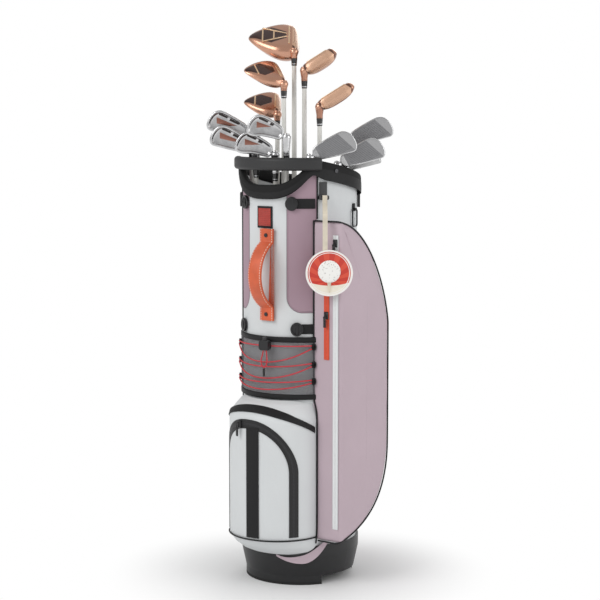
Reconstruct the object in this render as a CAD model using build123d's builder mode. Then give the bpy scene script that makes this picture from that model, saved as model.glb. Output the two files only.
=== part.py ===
from build123d import *
import os
from collections import namedtuple
from math import cos, degrees, radians, sin

# Golf club set: a cart bag that holds thirteen clubs, heads up. Millimetres, +Z up, with the origin on the
# floor on the bag's axis. The front of the bag faces -Y and the large side pocket faces +X. A "turn" is an
# angle about the bag's axis in degrees, measured from the front and positive towards the side pocket.

# ---- Driving dimensions -------------------------------------------------------------------------------

# Fits
seat_gap = 0.3          # between a soft or loose piece and what it sits on
bore_clearance = 0.05   # radial, shaft in its hosel, grip and ferrule

# Body tube and base
tube_radius = 118.0
tube_wall = 3.0
sole_thickness = 6.0
foot_height = 12.0
base_floor_under = 38.0
base_floor_top = 44.7
base_foot_width = 15.0
cup_wall = 4.5
base_taper = 9.5
cup_radius = tube_radius + cup_wall
base_bottom_radius = cup_radius - base_taper
cup_shoulder_height = 62.0
cup_top = 84.0
foot_front_edge = -56.0
foot_rear_edge = 86.0
keel_width = 30.0
rib_thickness = 3.0
rib_count = 8
stay_width = 16.0
stay_thickness = 2.2
stay_turns = (112.0, 202.0, 280.0, 358.0)

# Rim: a plane that falls towards the back, with a U-shaped dip at the front
rim_seam_height = 870.0
rim_seam_y = -70.0
rim_fall = 0.24         # fall per millimetre towards the back
dip_half_width = 96.0
dip_height = 820.0
dip_shoulder = (0.45, 5.0)  # share of its half width, and height there above the lowest point
cuff_height = 28.0
cuff_inner_cover = 6.0
cuff_outer_cover = 8.0
cuff_inner_radius = tube_radius - cuff_inner_cover
cuff_outer_radius = tube_radius + cuff_outer_cover

# Front handle bar
bar_stand_off = 9.0
bar_radius = tube_radius + bar_stand_off
bar_depth = 17.0
bar_low = 849.0
bar_high = 875.0
bar_turn = 56.0
bar_corner = 7.0
bar_clearance = 0.3
screw_turns = (72.0, -72.0)
screw_height = 848.0

# Divider
divider_top = 786.0
divider_depth = 14.0
divider_bar_width = 6.0
divider_sheet_thickness = 1.2
front_divider_y = -45.8
back_divider_y = 42.0
centre_divider_x = 28.0
front_split_x = 15.0
divider_ring_width = 3.5

# Front seams and mesh pocket
seam_turn = 54.0
seam_strip_turn = 2.0
mesh_low = 397.0
mesh_high = 503.0
mesh_thickness = 1.0
mesh_stand_off = 3.0
hem_height = 11.0
hem_thickness = 5.0

# Elastic lace
lace_radius = 1.4
lace_stand_off = 7.2
lace_turn = 47.8
lace_rows = [  # height at the left end, in the middle and at the right end
    (493.0, 495.0, 497.0),
    (487.0, 461.0, 491.0),
    (456.0, 452.0, 461.0),
    (450.0, 428.0, 455.0),
    (421.0, 420.0, 427.0),
    (415.0, 405.0, 421.0),
]
loop_places = [(-50.0, 490.0), (-50.0, 453.0), (-50.0, 418.0), (50.0, 494.0), (50.0, 458.0), (50.0, 424.0)]
loop_size = (9.0, 7.0, 13.0)
cord_lock_turn = 5.0
cord_lock_height = 497.0
cord_lock_size = (22.0, 12.0, 20.0)
button_radius = 4.2
button_stand = 7.0
button_travel = 4.0
tail_points = [  # the loop of lace below the lock: across it and down from its lower edge
    (-3.5, -0.3), (-5.0, -9.0), (-10.0, -22.0), (-6.5, -34.0),
    (0.5, -36.0), (5.5, -25.0), (4.5, -9.0), (3.5, -0.3),
]
lace_end_radius = 2.6
lace_end_length = 16.0

# Ball pocket: plan circles, each (radius, distance of its centre in front of the axis, height)
pocket_radius = 100.0
pocket_centre = 76.0
pocket_low = 104.0
pocket_high = 352.0
pocket_top = 385.0
pocket_top_radius = 88.0
pocket_top_centre = 40.0
pocket_bottom = 66.0
pocket_bottom_radius = 96.0
pocket_bottom_centre = 32.0
pocket_wall = 3.0
ball_zip_centre_height = 240.0
ball_zip_half_width = 89.0
ball_zip_rise = 110.0
ball_zip_side_width = 11.0
ball_zip_top_width = 19.0
ball_zip_low = 110.0
ball_zip_thickness = 1.6
ball_slider_turn = -12.0
ball_slider_height = 338.0

# Side pocket
side_face_x = 160.0
side_front_y = -75.0
side_rear_y = 97.0
side_low = 95.0
side_high = 750.0
side_wall = 3.0
side_corner = 10.0
side_low_bend = 190.0
side_high_bend = 215.0
side_high_shoulder = (27.0, 78.0)   # where the rear edge has curved in, and how far above the bend
side_low_shoulder = (34.0, 74.0)    # the same for the lower curve, above the lower edge
side_zip_x = 146.0
side_zip_width = 13.0
side_zip_low = 125.0
side_zip_high = 722.0
gusset_zip_x = 124.0
gusset_zip_width = 13.0
gusset_zip_low = 470.0
gusset_zip_high = 612.0
zip_thickness = 1.6
slider_size = (11.0, 5.0, 16.0)
pull_size = (6.0, 2.4, 30.0)
gusset_slider_height = 560.0

# Carry handle
handle_x = 8.0
handle_width = 35.0
handle_low = 546.0
handle_high = 732.0
handle_reach = 46.0
handle_thickness = 6.0
handle_tab = 26.0
rivet_radius = 4.0
rivet_height = 2.0

# Badge, buckles and webbing
badge_height = 755.0
badge_size = (38.0, 44.0)
badge_thickness = 2.0
buckle_size = (26.0, 28.0)
buckle_thickness = 6.0
webbing_width = 20.0
webbing_thickness = 1.6
buckle_places = [(29.0, 783.0), (34.0, 530.0), (-29.0, 783.0), (-34.0, 530.0)]

# Towel ring, tag and shoulder strap
towel_turn = 104.0
towel_height = 772.0
towel_tab_size = (12.0, 7.0, 16.0)
towel_ring_half_width = 12.0
towel_ring_half_height = 17.0
towel_ring_wire = 1.6
towel_ring_corner = 5.0
towel_pin_cover = 1.8   # of webbing round the ring's upper bar
tag_turn = 60.0
tag_ring_height = 792.0
tag_ring_size = (22.0, 9.0)
tag_ring_stand = 6.0
tag_webbing_half_turn = 4.0
tag_webbing_length = 34.0
tag_heading = 37.0      # direction in which the tag faces, as a turn
tag_size = (94.0, 92.0)
tag_thickness = 4.0
tag_reach = 160.0       # from the bag's axis to the back of the tag, along its heading
tag_side = 58.0         # from the bag's axis to the tag's middle, across its heading
tag_middle_height = 648.0
tag_strap_width = 10.0
tag_strap_thickness = 2.0
tag_strap_stand = 3.4
strap_width = 62.0
strap_thickness = 12.0
strap_low = 315.0
strap_high = 775.0
strap_reach = 44.0
anchor_size = (44.0, 6.0, 30.0)
anchor_corner = 5.0
side_anchor_turns = (-62.0, 126.0)
side_anchor_height = 785.0

# Clubs. Each stands on the base floor with its shaft upright. heading is the way the toe points, in degrees
# from +X; sole_height is where the shaft's axis meets the plane of the sole; toe is the length from the
# shaft's axis to the toe; depth is from the face to the back of a wood's head and height its thickness.
butt_gap = 0.3
butt_height = base_floor_top + butt_gap
grip_length = 265.0
grip_cap = 4.0
grip_butt_radius = 13.2
grip_mouth_radius = 8.8
shaft_butt_radius = 7.4
shaft_tip_radius = 4.6
shaft_bore_radius = 3.2
tip_insert = 20.0
ferrule_length = 15.0
hosel_radius = 6.6
ferrule_room = 1.5      # between a head and the ferrule below its hosel
wood_rise = 32.0
iron_rise = 29.0
putter_rise = 14.0
Club = namedtuple("Club", "name kind x y sole_height heading toe depth height hosel")
clubs = [
    Club("driver", "wood", -27.6, 16.7, 1103, 127, 98, 106, 50, 28),
    Club("fairway_wood_a", "wood", -18.0, -31.0, 1036, 146, 74, 84, 32, 28),
    Club("fairway_wood_b", "wood", -55.6, -4.3, 974, 127, 70, 78, 32, 27),
    Club("fairway_wood_c", "wood", 4.2, 9.4, 1064, 37, 68, 74, 34, 36),
    Club("hybrid", "wood", 56.0, -8.0, 990, 37, 74, 40, 30, 38),
    Club("iron_a", "iron", -76.8, -62.6, 936, 217, 86, 0, 0, 58),
    Club("iron_b", "iron", -50.6, -81.6, 905, 217, 88, 0, 0, 58),
    Club("iron_c", "iron", -2.6, -79.6, 899, 217, 74, 0, 0, 58),
    Club("iron_d", "iron", 32.6, -88.2, 935, 217, 72, 0, 0, 58),
    Club("iron_e", "iron", 73.2, -63.9, 894, 37, 88, 0, 0, 58),
    Club("iron_f", "iron", 71.0, 66.0, 921, 37, 90, 0, 0, 58),
    Club("iron_g", "iron", 96.6, -1.0, 879, 37, 90, 0, 0, 58),
    Club("putter", "putter", 37.6, 88.4, 862, 37, 84, 0, 0, 32),
]


upright = (Align.CENTER, Align.CENTER, Align.MIN)


# ---- Helpers ------------------------------------------------------------------------------------------

def around(radius, turn, height=0.0):
    """The point at a turn from the front, at a distance from the bag's axis."""
    return Vector(radius * sin(radians(turn)), -radius * cos(radians(turn)), height)


def outward_plane(radius, turn, height):
    """A plane that touches the bag at a turn, with its z outwards and its y up."""
    outward = around(1, turn)
    return Plane(origin=around(radius, turn, height), x_dir=around(1, turn + 90), z_dir=outward)


def finish(piece, label):
    """Names a finished piece and writes its file."""
    piece.part.label = label
    export_step(piece.part, f"parts/{label}.step")


def ring_sector(inner, outer, turn_from, turn_to, low, high, mode=Mode.ADD):
    """A curved slab between two radii, two turns and two heights, added to the part being made."""
    middle = (turn_from + turn_to) / 2
    with BuildSketch(Plane.XY.offset(low)) as slab:
        with BuildLine():
            ThreePointArc(around(inner, turn_from), around(inner, middle), around(inner, turn_to))
            Line(around(inner, turn_to), around(outer, turn_to))
            ThreePointArc(around(outer, turn_to), around(outer, middle), around(outer, turn_from))
            Line(around(outer, turn_from), around(inner, turn_from))
        make_face()
    extrude(slab.sketch, amount=high - low, mode=mode)


def rim_height(y):
    """Height of the rim's falling plane at a distance in front of or behind the axis."""
    return rim_seam_height - rim_fall * (y - rim_seam_y)


def cut_above_rim(drop):
    """Cuts the part being made along the rim, lowered by a drop."""
    far = 2 * cup_radius
    with BuildSketch(Plane.YZ) as fall:
        with BuildLine():
            Polyline(
                (-far, rim_height(-far) - drop), (far, rim_height(far) - drop),
                (far, 2 * rim_seam_height), (-far, 2 * rim_seam_height), close=True,
            )
        make_face()
    extrude(fall.sketch, amount=far, both=True, mode=Mode.SUBTRACT)
    edge = rim_height(-cup_radius) - drop
    low = dip_height - drop
    shoulder = dip_shoulder[0] * dip_half_width
    with BuildSketch(Plane.XZ) as dip:
        with BuildLine():
            Spline(
                (-dip_half_width, edge), (-shoulder, low + dip_shoulder[1]), (0, low),
                (shoulder, low + dip_shoulder[1]), (dip_half_width, edge),
            )
            Polyline(
                (dip_half_width, edge), (dip_half_width, edge + far),
                (-dip_half_width, edge + far), (-dip_half_width, edge),
            )
        make_face()
    extrude(dip.sketch, amount=far, mode=Mode.SUBTRACT)


os.makedirs("parts", exist_ok=True)


# ---- Base ---------------------------------------------------------------------------------------------

def foot_outline():
    """Front and rear feet and the keel between them, in the sketch being made."""
    Circle(base_bottom_radius)
    Circle(base_bottom_radius - base_foot_width, mode=Mode.SUBTRACT)
    with Locations((0, (foot_front_edge + foot_rear_edge) / 2)):
        Rectangle(3 * base_bottom_radius, foot_rear_edge - foot_front_edge, mode=Mode.SUBTRACT)
    Rectangle(keel_width, 2 * (base_bottom_radius - base_foot_width / 2))


foot_top = sole_thickness + foot_height
with BuildPart() as base_cup:
    inner_wall = base_bottom_radius - base_foot_width / 2
    with BuildSketch(Plane.XZ):
        with BuildLine():
            Polyline(
                (0, base_floor_under), (inner_wall, base_floor_under), (inner_wall, foot_top),
                (base_bottom_radius, foot_top), (cup_radius, cup_shoulder_height), (cup_radius, cup_top),
                (tube_radius + seat_gap, cup_top), (tube_radius + seat_gap, base_floor_top),
                (0, base_floor_top), close=True,
            )
        make_face()
    revolve(axis=Axis.Z)
    with BuildSketch(Plane.XY.offset(foot_top)):
        with PolarLocations(inner_wall / 2, rib_count):
            Rectangle(inner_wall, rib_thickness)
        Rectangle(keel_width, 2 * inner_wall)
    extrude(amount=base_floor_under - foot_top)
    with BuildSketch(Plane.XY.offset(sole_thickness)):
        foot_outline()
    extrude(amount=foot_height)
finish(base_cup, "base_cup")

with BuildPart() as base_soles:
    with BuildSketch():
        foot_outline()
    extrude(amount=sole_thickness)
finish(base_soles, "base_soles")


# ---- Body tube, stays and divider ---------------------------------------------------------------------

def divider_lines(width):
    """The walls that part the bag into slots, in the sketch being made."""
    with Locations((0, front_divider_y), (0, back_divider_y)):
        Rectangle(2 * tube_radius, width)
    with Locations((centre_divider_x, (front_divider_y + back_divider_y) / 2)):
        Rectangle(width, back_divider_y - front_divider_y)
    with Locations((front_split_x, (front_divider_y - tube_radius) / 2)):
        Rectangle(width, tube_radius + front_divider_y)


with BuildPart() as below_cuff:
    with Locations((0, 0, base_floor_top)):
        Cylinder(2 * cup_radius, rim_seam_height, align=upright)
    cut_above_rim(cuff_height)

tube_inner_radius = tube_radius - tube_wall
with BuildPart() as body_tube:
    with BuildSketch(Plane.XY.offset(base_floor_top)):
        Circle(tube_radius)
        Circle(tube_inner_radius, mode=Mode.SUBTRACT)
    extrude(amount=rim_seam_height)
    add(below_cuff.part, mode=Mode.INTERSECT)
finish(body_tube, "body_tube")

divider_low = divider_top - divider_depth
divider_radius = tube_inner_radius - seat_gap
with BuildPart() as body_stays:
    with BuildSketch(Plane.XY.offset(base_floor_top)):
        for stay_turn in stay_turns:
            with Locations(around(divider_radius - stay_thickness, stay_turn)):
                Rectangle(stay_thickness, stay_width, rotation=stay_turn - 90)
    extrude(amount=divider_low - base_floor_top)
finish(body_stays, "body_stays")

with BuildPart() as divider_frame:
    with BuildSketch(Plane.XY.offset(divider_low)):
        divider_lines(divider_bar_width)
        Circle(divider_radius, mode=Mode.INTERSECT)
        Circle(divider_radius)
        Circle(divider_radius - divider_ring_width, mode=Mode.SUBTRACT)
        divider_lines(divider_bar_width)
        Circle(divider_radius, mode=Mode.INTERSECT)
    extrude(amount=divider_depth)
finish(divider_frame, "divider_frame")

with BuildPart() as divider_sheets:
    with BuildSketch(Plane.XY.offset(base_floor_top + seat_gap)):
        divider_lines(divider_sheet_thickness)
        Circle(divider_radius - 1.5 * stay_thickness - 2 * seat_gap, mode=Mode.INTERSECT)
    extrude(amount=divider_low - base_floor_top - seat_gap)
finish(divider_sheets, "divider_sheets")


# ---- Collar -------------------------------------------------------------------------------------------

def bar_solid(growth, mode=Mode.ADD):
    """The front handle bar, grown all round by a clearance."""
    start = around(1, -bar_turn - growth)
    with BuildSketch(Plane(origin=(0, 0, 0), x_dir=start, z_dir=start.cross(Vector(0, 0, 1)))) as end:
        with Locations((bar_radius, (bar_low + bar_high) / 2)):
            RectangleRounded(bar_depth + 2 * growth, bar_high - bar_low + 2 * growth, bar_corner)
    revolve(end.sketch, axis=Axis.Z, revolution_arc=2 * (bar_turn + growth), mode=mode)


with BuildPart() as front_handle_bar:
    bar_solid(0)
finish(front_handle_bar, "front_handle_bar")

with BuildPart() as collar_cuff:
    with BuildSketch(Plane.XY.offset(divider_low)):
        Circle(cuff_outer_radius)
        Circle(cuff_inner_radius, mode=Mode.SUBTRACT)
    extrude(amount=rim_seam_height - divider_low + cuff_height)
    cut_above_rim(0)
    add(below_cuff.part, mode=Mode.SUBTRACT)
    bar_solid(bar_clearance, mode=Mode.SUBTRACT)
finish(collar_cuff, "collar_cuff")

with BuildPart() as fasteners:
    for rivet_height_at in (handle_high - handle_tab / 2, handle_low + handle_tab / 2):
        with Locations((handle_x, -tube_radius - handle_thickness - rivet_height / 2, rivet_height_at)):
            Cylinder(rivet_radius, rivet_height, rotation=(90, 0, 0))
    for screw_turn in screw_turns:
        with BuildSketch(outward_plane(cuff_outer_radius, screw_turn, screw_height)):
            Circle(rivet_radius)
        extrude(amount=rivet_height)
finish(fasteners, "fasteners")


# ---- Front: mesh pocket, seams and elastic lace -------------------------------------------------------

mesh_radius = tube_radius + mesh_stand_off
with BuildPart() as mesh_panel:
    ring_sector(mesh_radius, mesh_radius + mesh_thickness, -seam_turn, seam_turn, mesh_low, mesh_high)
finish(mesh_panel, "mesh_panel")

hem_radius = tube_radius + hem_thickness
with BuildPart() as mesh_hem:
    ring_sector(
        tube_radius, hem_radius, -seam_turn - seam_strip_turn, seam_turn + seam_strip_turn,
        mesh_low - hem_height, mesh_high + hem_height,
    )
    ring_sector(tube_radius, hem_radius, -seam_turn, seam_turn, mesh_low, mesh_high, Mode.SUBTRACT)
    ring_sector(
        tube_radius, mesh_radius - seat_gap, -seam_turn, seam_turn,
        mesh_low, mesh_high + hem_height, Mode.SUBTRACT,
    )
finish(mesh_hem, "mesh_hem")

lace_path_radius = hem_radius + lace_stand_off - hem_thickness + lace_radius
loop_foot_radius = mesh_radius + mesh_thickness + seat_gap
with BuildPart() as lace_loops:
    for turn, height in loop_places:
        with BuildSketch(outward_plane(loop_foot_radius, turn, height)):
            RectangleRounded(loop_size[0], loop_size[2], loop_size[0] / 3)
        extrude(amount=loop_size[1])
finish(lace_loops, "lace_loops")

lock_radius = lace_path_radius + lace_radius + seat_gap
lock_depth_radius = lock_radius + cord_lock_size[1] / 2
tail_plane = outward_plane(lock_depth_radius, cord_lock_turn, cord_lock_height - cord_lock_size[2] / 2)
tail_low = min(down for across, down in tail_points) - lace_radius - seat_gap
with BuildPart() as lace_cord:
    for left, middle, right in lace_rows:
        with BuildLine() as row:
            ThreePointArc(
                around(lace_path_radius, -lace_turn, left), around(lace_path_radius, 0, middle),
                around(lace_path_radius, lace_turn, right),
            )
        with BuildSketch(Plane(origin=row.line @ 0, z_dir=row.line % 0)):
            Circle(lace_radius)
        sweep(path=row.line)
    with BuildLine(tail_plane) as tail_line:
        Spline(*tail_points)
    with BuildSketch(Plane(origin=tail_line.line @ 0, z_dir=tail_line.line % 0)):
        Circle(lace_radius)
    sweep(path=tail_line.line)
    with Locations(tail_plane * Location((-lace_end_radius, tail_low - lace_end_length / 2, 0))):
        Cylinder(lace_end_radius, lace_end_length, rotation=(90, 0, 0))
finish(lace_cord, "lace_cord")

lock_plane = outward_plane(lock_radius, cord_lock_turn, cord_lock_height)
button_bore = button_radius + seat_gap
with BuildPart() as cord_lock:
    with BuildSketch(lock_plane):
        RectangleRounded(cord_lock_size[0], cord_lock_size[2], cord_lock_size[0] / 4)
    extrude(amount=cord_lock_size[1])
    lock_axis = around(lock_depth_radius, cord_lock_turn)
    with BuildSketch(Plane.XY.offset(cord_lock_height)):
        with Locations(lock_axis):
            Circle(button_bore)
    extrude(amount=cord_lock_size[2], mode=Mode.SUBTRACT)
finish(cord_lock, "cord_lock")

with BuildPart() as cord_lock_button:
    with BuildSketch(Plane.XY.offset(cord_lock_height + button_travel + seat_gap)):
        with Locations(lock_axis):
            Circle(button_radius)
    extrude(amount=cord_lock_size[2] / 2 + button_stand - button_travel - seat_gap)
finish(cord_lock_button, "cord_lock_button")


# ---- Ball pocket --------------------------------------------------------------------------------------

def pocket_stage(radius, centre, height):
    """One plan section of the ball pocket."""
    with BuildSketch(Plane.XY.offset(height)) as stage:
        with Locations((0, -centre)):
            Circle(radius)
    return stage.sketch


def pocket_body(wall):
    """The ball pocket's swelling, inside its skin by a wall, added to the part being made."""
    bottom = pocket_stage(pocket_bottom_radius - wall, pocket_bottom_centre, pocket_bottom + wall)
    low = pocket_stage(pocket_radius - wall, pocket_centre, pocket_low + wall)
    high = pocket_stage(pocket_radius - wall, pocket_centre, pocket_high - wall)
    top = pocket_stage(pocket_top_radius - wall, pocket_top_centre, pocket_top - wall)
    for one, other in ((bottom, low), (low, high), (high, top)):
        loft([one.face(), other.face()], ruled=True)


with BuildPart() as pocket_room:
    pocket_body(pocket_wall)

with BuildPart() as ball_pocket:
    pocket_body(0)
    add(pocket_room.part, mode=Mode.SUBTRACT)
    Cylinder(tube_radius, rim_seam_height, align=upright, mode=Mode.SUBTRACT)
    Cylinder(cup_radius + seat_gap, cup_top + seat_gap, align=upright, mode=Mode.SUBTRACT)
finish(ball_pocket, "ball_pocket")


def zip_arch(half_width, rise):
    """The outline of the ball pocket's zip seen from the front, in the sketch being made."""
    with Locations((0, ball_zip_centre_height)):
        Ellipse(half_width, rise)
    with Locations((0, ball_zip_centre_height)):
        Rectangle(2 * half_width, 2 * rise, align=(Align.CENTER, Align.MAX))


zip_inner_rise = ball_zip_rise - ball_zip_top_width
zip_inner_half_width = ball_zip_half_width - ball_zip_side_width
with BuildPart() as ball_zip_tape:
    with BuildSketch(Plane.XY.offset(ball_zip_low)):
        with Locations((0, -pocket_centre)):
            Circle(pocket_radius + seat_gap + ball_zip_thickness)
            Circle(pocket_radius + seat_gap, mode=Mode.SUBTRACT)
    extrude(amount=pocket_high - ball_zip_low)
    with BuildSketch(Plane.XZ.offset(pocket_centre)):
        zip_arch(ball_zip_half_width, ball_zip_rise)
    extrude(amount=2 * pocket_radius, mode=Mode.INTERSECT)
    with BuildSketch(Plane.XZ.offset(pocket_centre)):
        zip_arch(zip_inner_half_width, zip_inner_rise)
    extrude(amount=2 * pocket_radius, mode=Mode.SUBTRACT)
finish(ball_zip_tape, "ball_zip_tape")


def zip_slider(plane, label):
    """A slider with its pull hanging from it, standing on a plane."""
    with BuildPart() as slider:
        with BuildSketch(plane) as base:
            RectangleRounded(slider_size[0], slider_size[2], slider_size[0] / 4)
        extrude(base.sketch, amount=slider_size[1])
        pull_plane = plane.offset(slider_size[1])
        with BuildSketch(pull_plane) as tongue:
            with Locations((0, -pull_size[2] / 2 + pull_size[0])):
                RectangleRounded(pull_size[0], pull_size[2], pull_size[0] / 3)
        extrude(tongue.sketch, amount=pull_size[1])
    finish(slider, label)


def pocket_front_plane(turn, height):
    """A plane on the ball pocket's zip tape at a turn about the zip's own middle."""
    outward = around(1, turn)
    reach = pocket_radius + ball_zip_thickness + 2 * seat_gap
    origin = Vector(0, -pocket_centre, height) + outward * reach
    return Plane(origin=origin, x_dir=around(1, turn + 90), z_dir=outward)


zip_slider(pocket_front_plane(ball_slider_turn, ball_slider_height), "ball_zip_slider")


# ---- Side pocket --------------------------------------------------------------------------------------

def side_outline(wall):
    """The side pocket's outline, front and back along the bag, inside its skin by a wall."""
    front = side_front_y + wall
    rear = side_rear_y - wall
    low = side_low + wall
    high = side_high - wall
    bend_low = low + side_low_bend
    bend_high = high - side_high_bend
    with BuildSketch(Plane.YZ) as outline:
        with BuildLine():
            Line((front, low), (front, high))
            upper = (rear - side_high_shoulder[0], bend_high + side_high_shoulder[1])
            Spline((front, high), upper, (rear, bend_high), tangents=((1, -0.1), (0, -1)))
            Line((rear, bend_high), (rear, bend_low))
            lower = (rear - side_low_shoulder[0], low + side_low_shoulder[1])
            Spline((rear, bend_low), lower, (front, low), tangents=((0, -1), (-1, -0.3)))
        make_face()
    return outline.sketch


with BuildPart() as side_room:
    extrude(side_outline(side_wall), amount=side_face_x - side_wall)

with BuildPart() as side_pocket:
    extrude(side_outline(0), amount=side_face_x)
    fillet(side_pocket.faces().sort_by(Axis.X)[-1].edges(), side_corner)
    add(side_room.part, mode=Mode.SUBTRACT)
    Cylinder(tube_radius, 2 * rim_seam_height, mode=Mode.SUBTRACT)
    ring_sector(
        tube_radius - seat_gap, hem_radius + seat_gap, -seam_turn, seam_turn + seam_strip_turn + 1,
        0, rim_seam_height, Mode.SUBTRACT,
    )
    with Locations((0, -pocket_centre, 0)):
        Cylinder(pocket_radius + seat_gap, pocket_top, align=upright, mode=Mode.SUBTRACT)
finish(side_pocket, "side_pocket")


def straight_zip(middle_x, width, low, high, label):
    """A zip on the side pocket's front gusset."""
    with BuildPart() as tape:
        with BuildSketch(Plane.XZ.offset(-side_front_y)) as strip:
            with Locations((middle_x, (low + high) / 2)):
                RectangleRounded(width, high - low, width / 3)
        extrude(strip.sketch, amount=zip_thickness)
    finish(tape, label)


straight_zip(side_zip_x, side_zip_width, side_zip_low, side_zip_high, "side_zip_tape")
straight_zip(gusset_zip_x, gusset_zip_width, gusset_zip_low, gusset_zip_high, "gusset_zip_tape")
slider_y = side_front_y - zip_thickness - seat_gap
side_slider_height = side_zip_high - slider_size[2]
for slider_x, slider_height, label in (
    (side_zip_x, side_slider_height, "side_zip_slider"),
    (gusset_zip_x, gusset_slider_height, "gusset_zip_slider"),
):
    slider_plane = Plane(origin=(slider_x, slider_y, slider_height), x_dir=(1, 0, 0), z_dir=(0, -1, 0))
    zip_slider(slider_plane, label)


# ---- Carry handle, badge, buckles and webbing ---------------------------------------------------------

with BuildPart() as carry_handle:
    with BuildSketch(Plane.YZ.offset(handle_x)):
        skin = -tube_radius + handle_thickness
        face = -tube_radius - handle_thickness
        reach = face - handle_reach + handle_thickness
        middle = (handle_low + handle_high) / 2
        with BuildLine():
            Line((skin, handle_low), (face, handle_low))
            Line((face, handle_low), (face, handle_low + handle_tab))
            ThreePointArc(
                (face, handle_low + handle_tab), (reach, middle), (face, handle_high - handle_tab)
            )
            Line((face, handle_high - handle_tab), (face, handle_high))
            Line((face, handle_high), (skin, handle_high))
            Line((skin, handle_high), (skin, handle_high - handle_tab - handle_thickness))
            ThreePointArc(
                (skin, handle_high - handle_tab - handle_thickness),
                (reach + handle_thickness, middle),
                (skin, handle_low + handle_tab + handle_thickness),
            )
            Line((skin, handle_low + handle_tab + handle_thickness), (skin, handle_low))
        make_face()
    extrude(amount=handle_width / 2, both=True)
    Cylinder(tube_radius, 2 * rim_seam_height, mode=Mode.SUBTRACT)
finish(carry_handle, "carry_handle")

with BuildPart() as badge_patch:
    badge_turn = degrees(badge_size[0] / 2 / tube_radius)
    ring_sector(
        tube_radius, tube_radius + badge_thickness, -badge_turn, badge_turn,
        badge_height - badge_size[1] / 2, badge_height + badge_size[1] / 2,
    )
finish(badge_patch, "badge_patch")

webbing_face = tube_radius + webbing_thickness
with BuildPart() as buckle_webbing:
    for turn, height in buckle_places:
        side = 1 if turn > 0 else -1
        turn_from, turn_to = sorted((turn, side * (seam_turn - seam_strip_turn)))
        webbing_low = height - webbing_width / 2
        ring_sector(tube_radius, webbing_face, turn_from, turn_to, webbing_low, webbing_low + webbing_width)
finish(buckle_webbing, "buckle_webbing")

with BuildPart() as strap_buckles:
    for turn, height in buckle_places:
        with BuildSketch(outward_plane(webbing_face, turn, height)) as plate:
            RectangleRounded(*buckle_size, buckle_size[0] / 2.4)
        extrude(plate.sketch, amount=buckle_thickness)
finish(strap_buckles, "strap_buckles")


# ---- Towel ring, tag and shoulder strap ---------------------------------------------------------------

towel_plane = outward_plane(tube_radius, towel_turn, towel_height)
towel_pin_reach = tube_radius + towel_tab_size[1] - towel_ring_wire - towel_pin_cover
towel_pin_height = towel_height - towel_tab_size[2] / 2 + towel_ring_wire + towel_pin_cover
pin_length = towel_tab_size[0]
with BuildPart() as towel_ring_tab:
    with BuildSketch(towel_plane):
        RectangleRounded(towel_tab_size[0], towel_tab_size[2], 3)
    extrude(amount=towel_tab_size[1])
    Cylinder(tube_radius, 2 * rim_seam_height, mode=Mode.SUBTRACT)
    pin_plane = Plane(
        origin=around(towel_pin_reach, towel_turn, towel_pin_height), z_dir=around(1, towel_turn + 90)
    )
    with BuildSketch(pin_plane):
        Circle(towel_ring_wire + seat_gap)
    extrude(amount=pin_length, both=True, mode=Mode.SUBTRACT)
finish(towel_ring_tab, "towel_ring_tab")

with BuildPart() as towel_ring:
    ring_plane = outward_plane(towel_pin_reach, towel_turn, towel_pin_height)
    with BuildLine(ring_plane) as loop:
        FilletPolyline(
            (towel_ring_half_width, 0), (towel_ring_half_width, -2 * towel_ring_half_height),
            (-towel_ring_half_width, -2 * towel_ring_half_height), (-towel_ring_half_width, 0),
            radius=towel_ring_corner, close=True,
        )
    with BuildSketch(Plane(origin=loop.line @ 0, z_dir=loop.line % 0)):
        Circle(towel_ring_wire)
    sweep(path=loop.line)
finish(towel_ring, "towel_ring")

tag_ring_reach = tube_radius + tag_ring_stand
with BuildPart() as tag_ring:
    ring_sector(
        tube_radius, webbing_face, tag_turn - tag_webbing_half_turn, tag_turn + tag_webbing_half_turn,
        tag_ring_height, tag_ring_height + tag_webbing_length,
    )
    with BuildSketch(outward_plane(tube_radius - webbing_thickness, tag_turn, tag_ring_height)):
        with Locations((0, tag_ring_size[1] / 3)):
            RectangleRounded(*tag_ring_size, tag_ring_size[1] / 3)
    extrude(amount=tag_ring_stand + webbing_thickness)
    Cylinder(tube_radius, 2 * rim_seam_height, mode=Mode.SUBTRACT)
finish(tag_ring, "tag_ring")

across = around(1, tag_heading + 90)
outward = around(1, tag_heading)
ring_point = around(tag_ring_reach + tag_strap_stand, tag_turn)
strap_side = ring_point.dot(across)
strap_start = ring_point.dot(outward)
tag_top = tag_middle_height + tag_size[1] / 2
hang_plane = Plane(origin=across * strap_side, x_dir=outward, z_dir=across * -1)
with BuildPart() as tag_strap:
    strap_end = tag_reach - tag_strap_thickness / 2
    route = [
        (strap_start, tag_ring_height + 8), (strap_start, tag_ring_height - 6),
        (strap_end - 10, side_high + 14), (strap_end, tag_top - 2),
    ]
    with BuildSketch(hang_plane):
        with BuildLine():
            Polyline(*route)
        trace(line_width=tag_strap_thickness)
    extrude(amount=tag_strap_width / 2, both=True)
finish(tag_strap, "tag_strap")

tag_middle = outward * tag_reach + across * tag_side + Vector(0, 0, tag_middle_height)
tag_plane = Plane(origin=tag_middle, x_dir=across, z_dir=outward)
with BuildPart() as golf_tag:
    with BuildSketch(tag_plane):
        Ellipse(tag_size[0] / 2, tag_size[1] / 2)
    extrude(amount=tag_thickness)
    add(tag_strap.part, mode=Mode.SUBTRACT)
finish(golf_tag, "golf_tag")

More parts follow.
